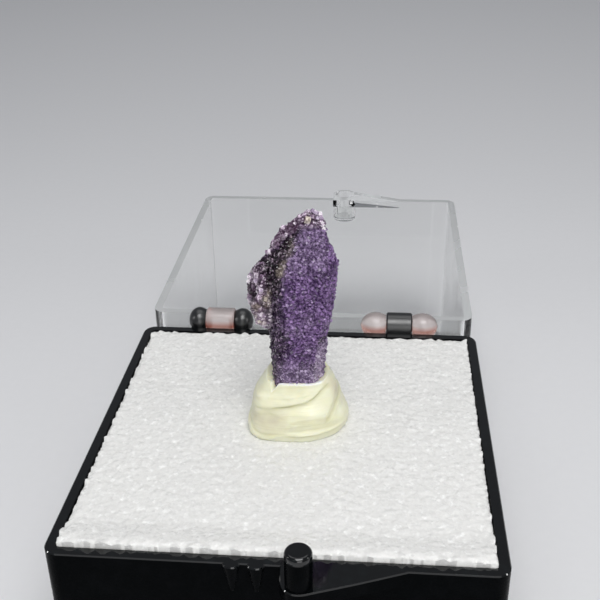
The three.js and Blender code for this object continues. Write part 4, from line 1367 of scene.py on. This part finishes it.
def camera():
    """The camera that looks down on the box from the front."""
    data = bpy.data.cameras.new("camera")
    data.lens = CAMERA_LENS
    data.sensor_width = CAMERA_SENSOR
    data.clip_start, data.clip_end = CAMERA_CLIP
    made = added("camera", data)
    turn = (Matrix.Rotation(-CAMERA_YAW, 4, "Z") @ Matrix.Rotation(math.pi / 2 - CAMERA_PITCH, 4, "X")
            @ Matrix.Rotation(CAMERA_ROLL, 4, "Z"))
    made.matrix_world = Matrix.Translation(CAMERA_PLACE * MM + Vector((0, 0, RIM))) @ turn
    bpy.context.scene.camera = made


def area_light(name, spot, aim, size, power):
    """A rectangular light at a spot, turned to face its aim; all in millimetres."""
    data = bpy.data.lights.new(name, "AREA")
    data.shape = "RECTANGLE"
    data.size, data.size_y = size[0] * MM, size[1] * MM
    data.energy = power
    made = added(name, data)
    spot = Vector(spot) * MM
    made.location = spot
    made.rotation_mode = "QUATERNION"
    made.rotation_quaternion = (Vector(aim) * MM - spot).to_track_quat("-Z", "Y")


class MINERAL_OT_stage(bpy.types.Operator):
    """Sets the pale floor, the soft lights and the camera"""
    bl_idname = "mineral.stage"
    bl_label = "Stage"

    def execute(self, context):
        settings = context.scene.mineral_stage
        floor = block("floor", (-FLOOR_REACH, -FLOOR_REACH, -FLOOR_THICKNESS), (FLOOR_REACH, FLOOR_REACH, 0))
        shader = Shader("floor_paper", Roughness=0.9)
        shade = tuple(c * FLOOR_SHADE for c in settings.floor)
        shader.drive("Base Color", shader.mix(shader.noise(900, 3), shade, tuple(settings.floor)))
        floor.data.materials.append(shader.material)
        world = bpy.data.worlds.new("studio")
        world.use_nodes = True
        background = world.node_tree.nodes["Background"].inputs
        background["Color"].default_value = SKY
        background["Strength"].default_value = SKY_STRENGTH
        context.scene.world = world
        for name, spot, aim, size, share in LIGHTS:
            area_light(name, spot, aim, size, settings.key * share)
        context.scene.view_settings.view_transform = "Standard"
        camera()
        return {"FINISHED"}


# ---- panel and registration ----

PIECES = (MINERAL_OT_black_base, MINERAL_OT_clear_lid, MINERAL_OT_foam, MINERAL_OT_putty, MINERAL_OT_point,
          MINERAL_OT_stage)
SETTINGS = {"mineral_box": BoxSettings, "mineral_foam": FoamSettings, "mineral_putty": PuttySettings,
            "mineral_point": PointSettings, "mineral_stage": StageSettings}


class MINERAL_PT_pieces(bpy.types.Panel):
    """Lists the settings and the pieces in the order they are made"""
    bl_label = "Fluorite Display Box"
    bl_space_type = "VIEW_3D"
    bl_region_type = "UI"
    bl_category = "Mineral"

    def draw(self, context):
        for name in SETTINGS:
            group = getattr(context.scene, name)
            box = self.layout.box()
            for value in group.bl_rna.properties.keys():
                if value not in ("rna_type", "name"):
                    box.prop(group, value)
        for operator in PIECES:
            self.layout.operator(operator.bl_idname)


register_classes, unregister_classes = bpy.utils.register_classes_factory(
    (*SETTINGS.values(), *PIECES, MINERAL_PT_pieces))


def register():
    register_classes()
    for name, group in SETTINGS.items():
        setattr(bpy.types.Scene, name, PointerProperty(type=group))


def unregister():
    for name in SETTINGS:
        delattr(bpy.types.Scene, name)
    unregister_classes()


def main():
    """Makes every piece and the stage."""
    register()
    for operator in PIECES:
        group, name = operator.bl_idname.split(".")
        getattr(getattr(bpy.ops, group), name)()


if __name__ == "__main__":
    main()
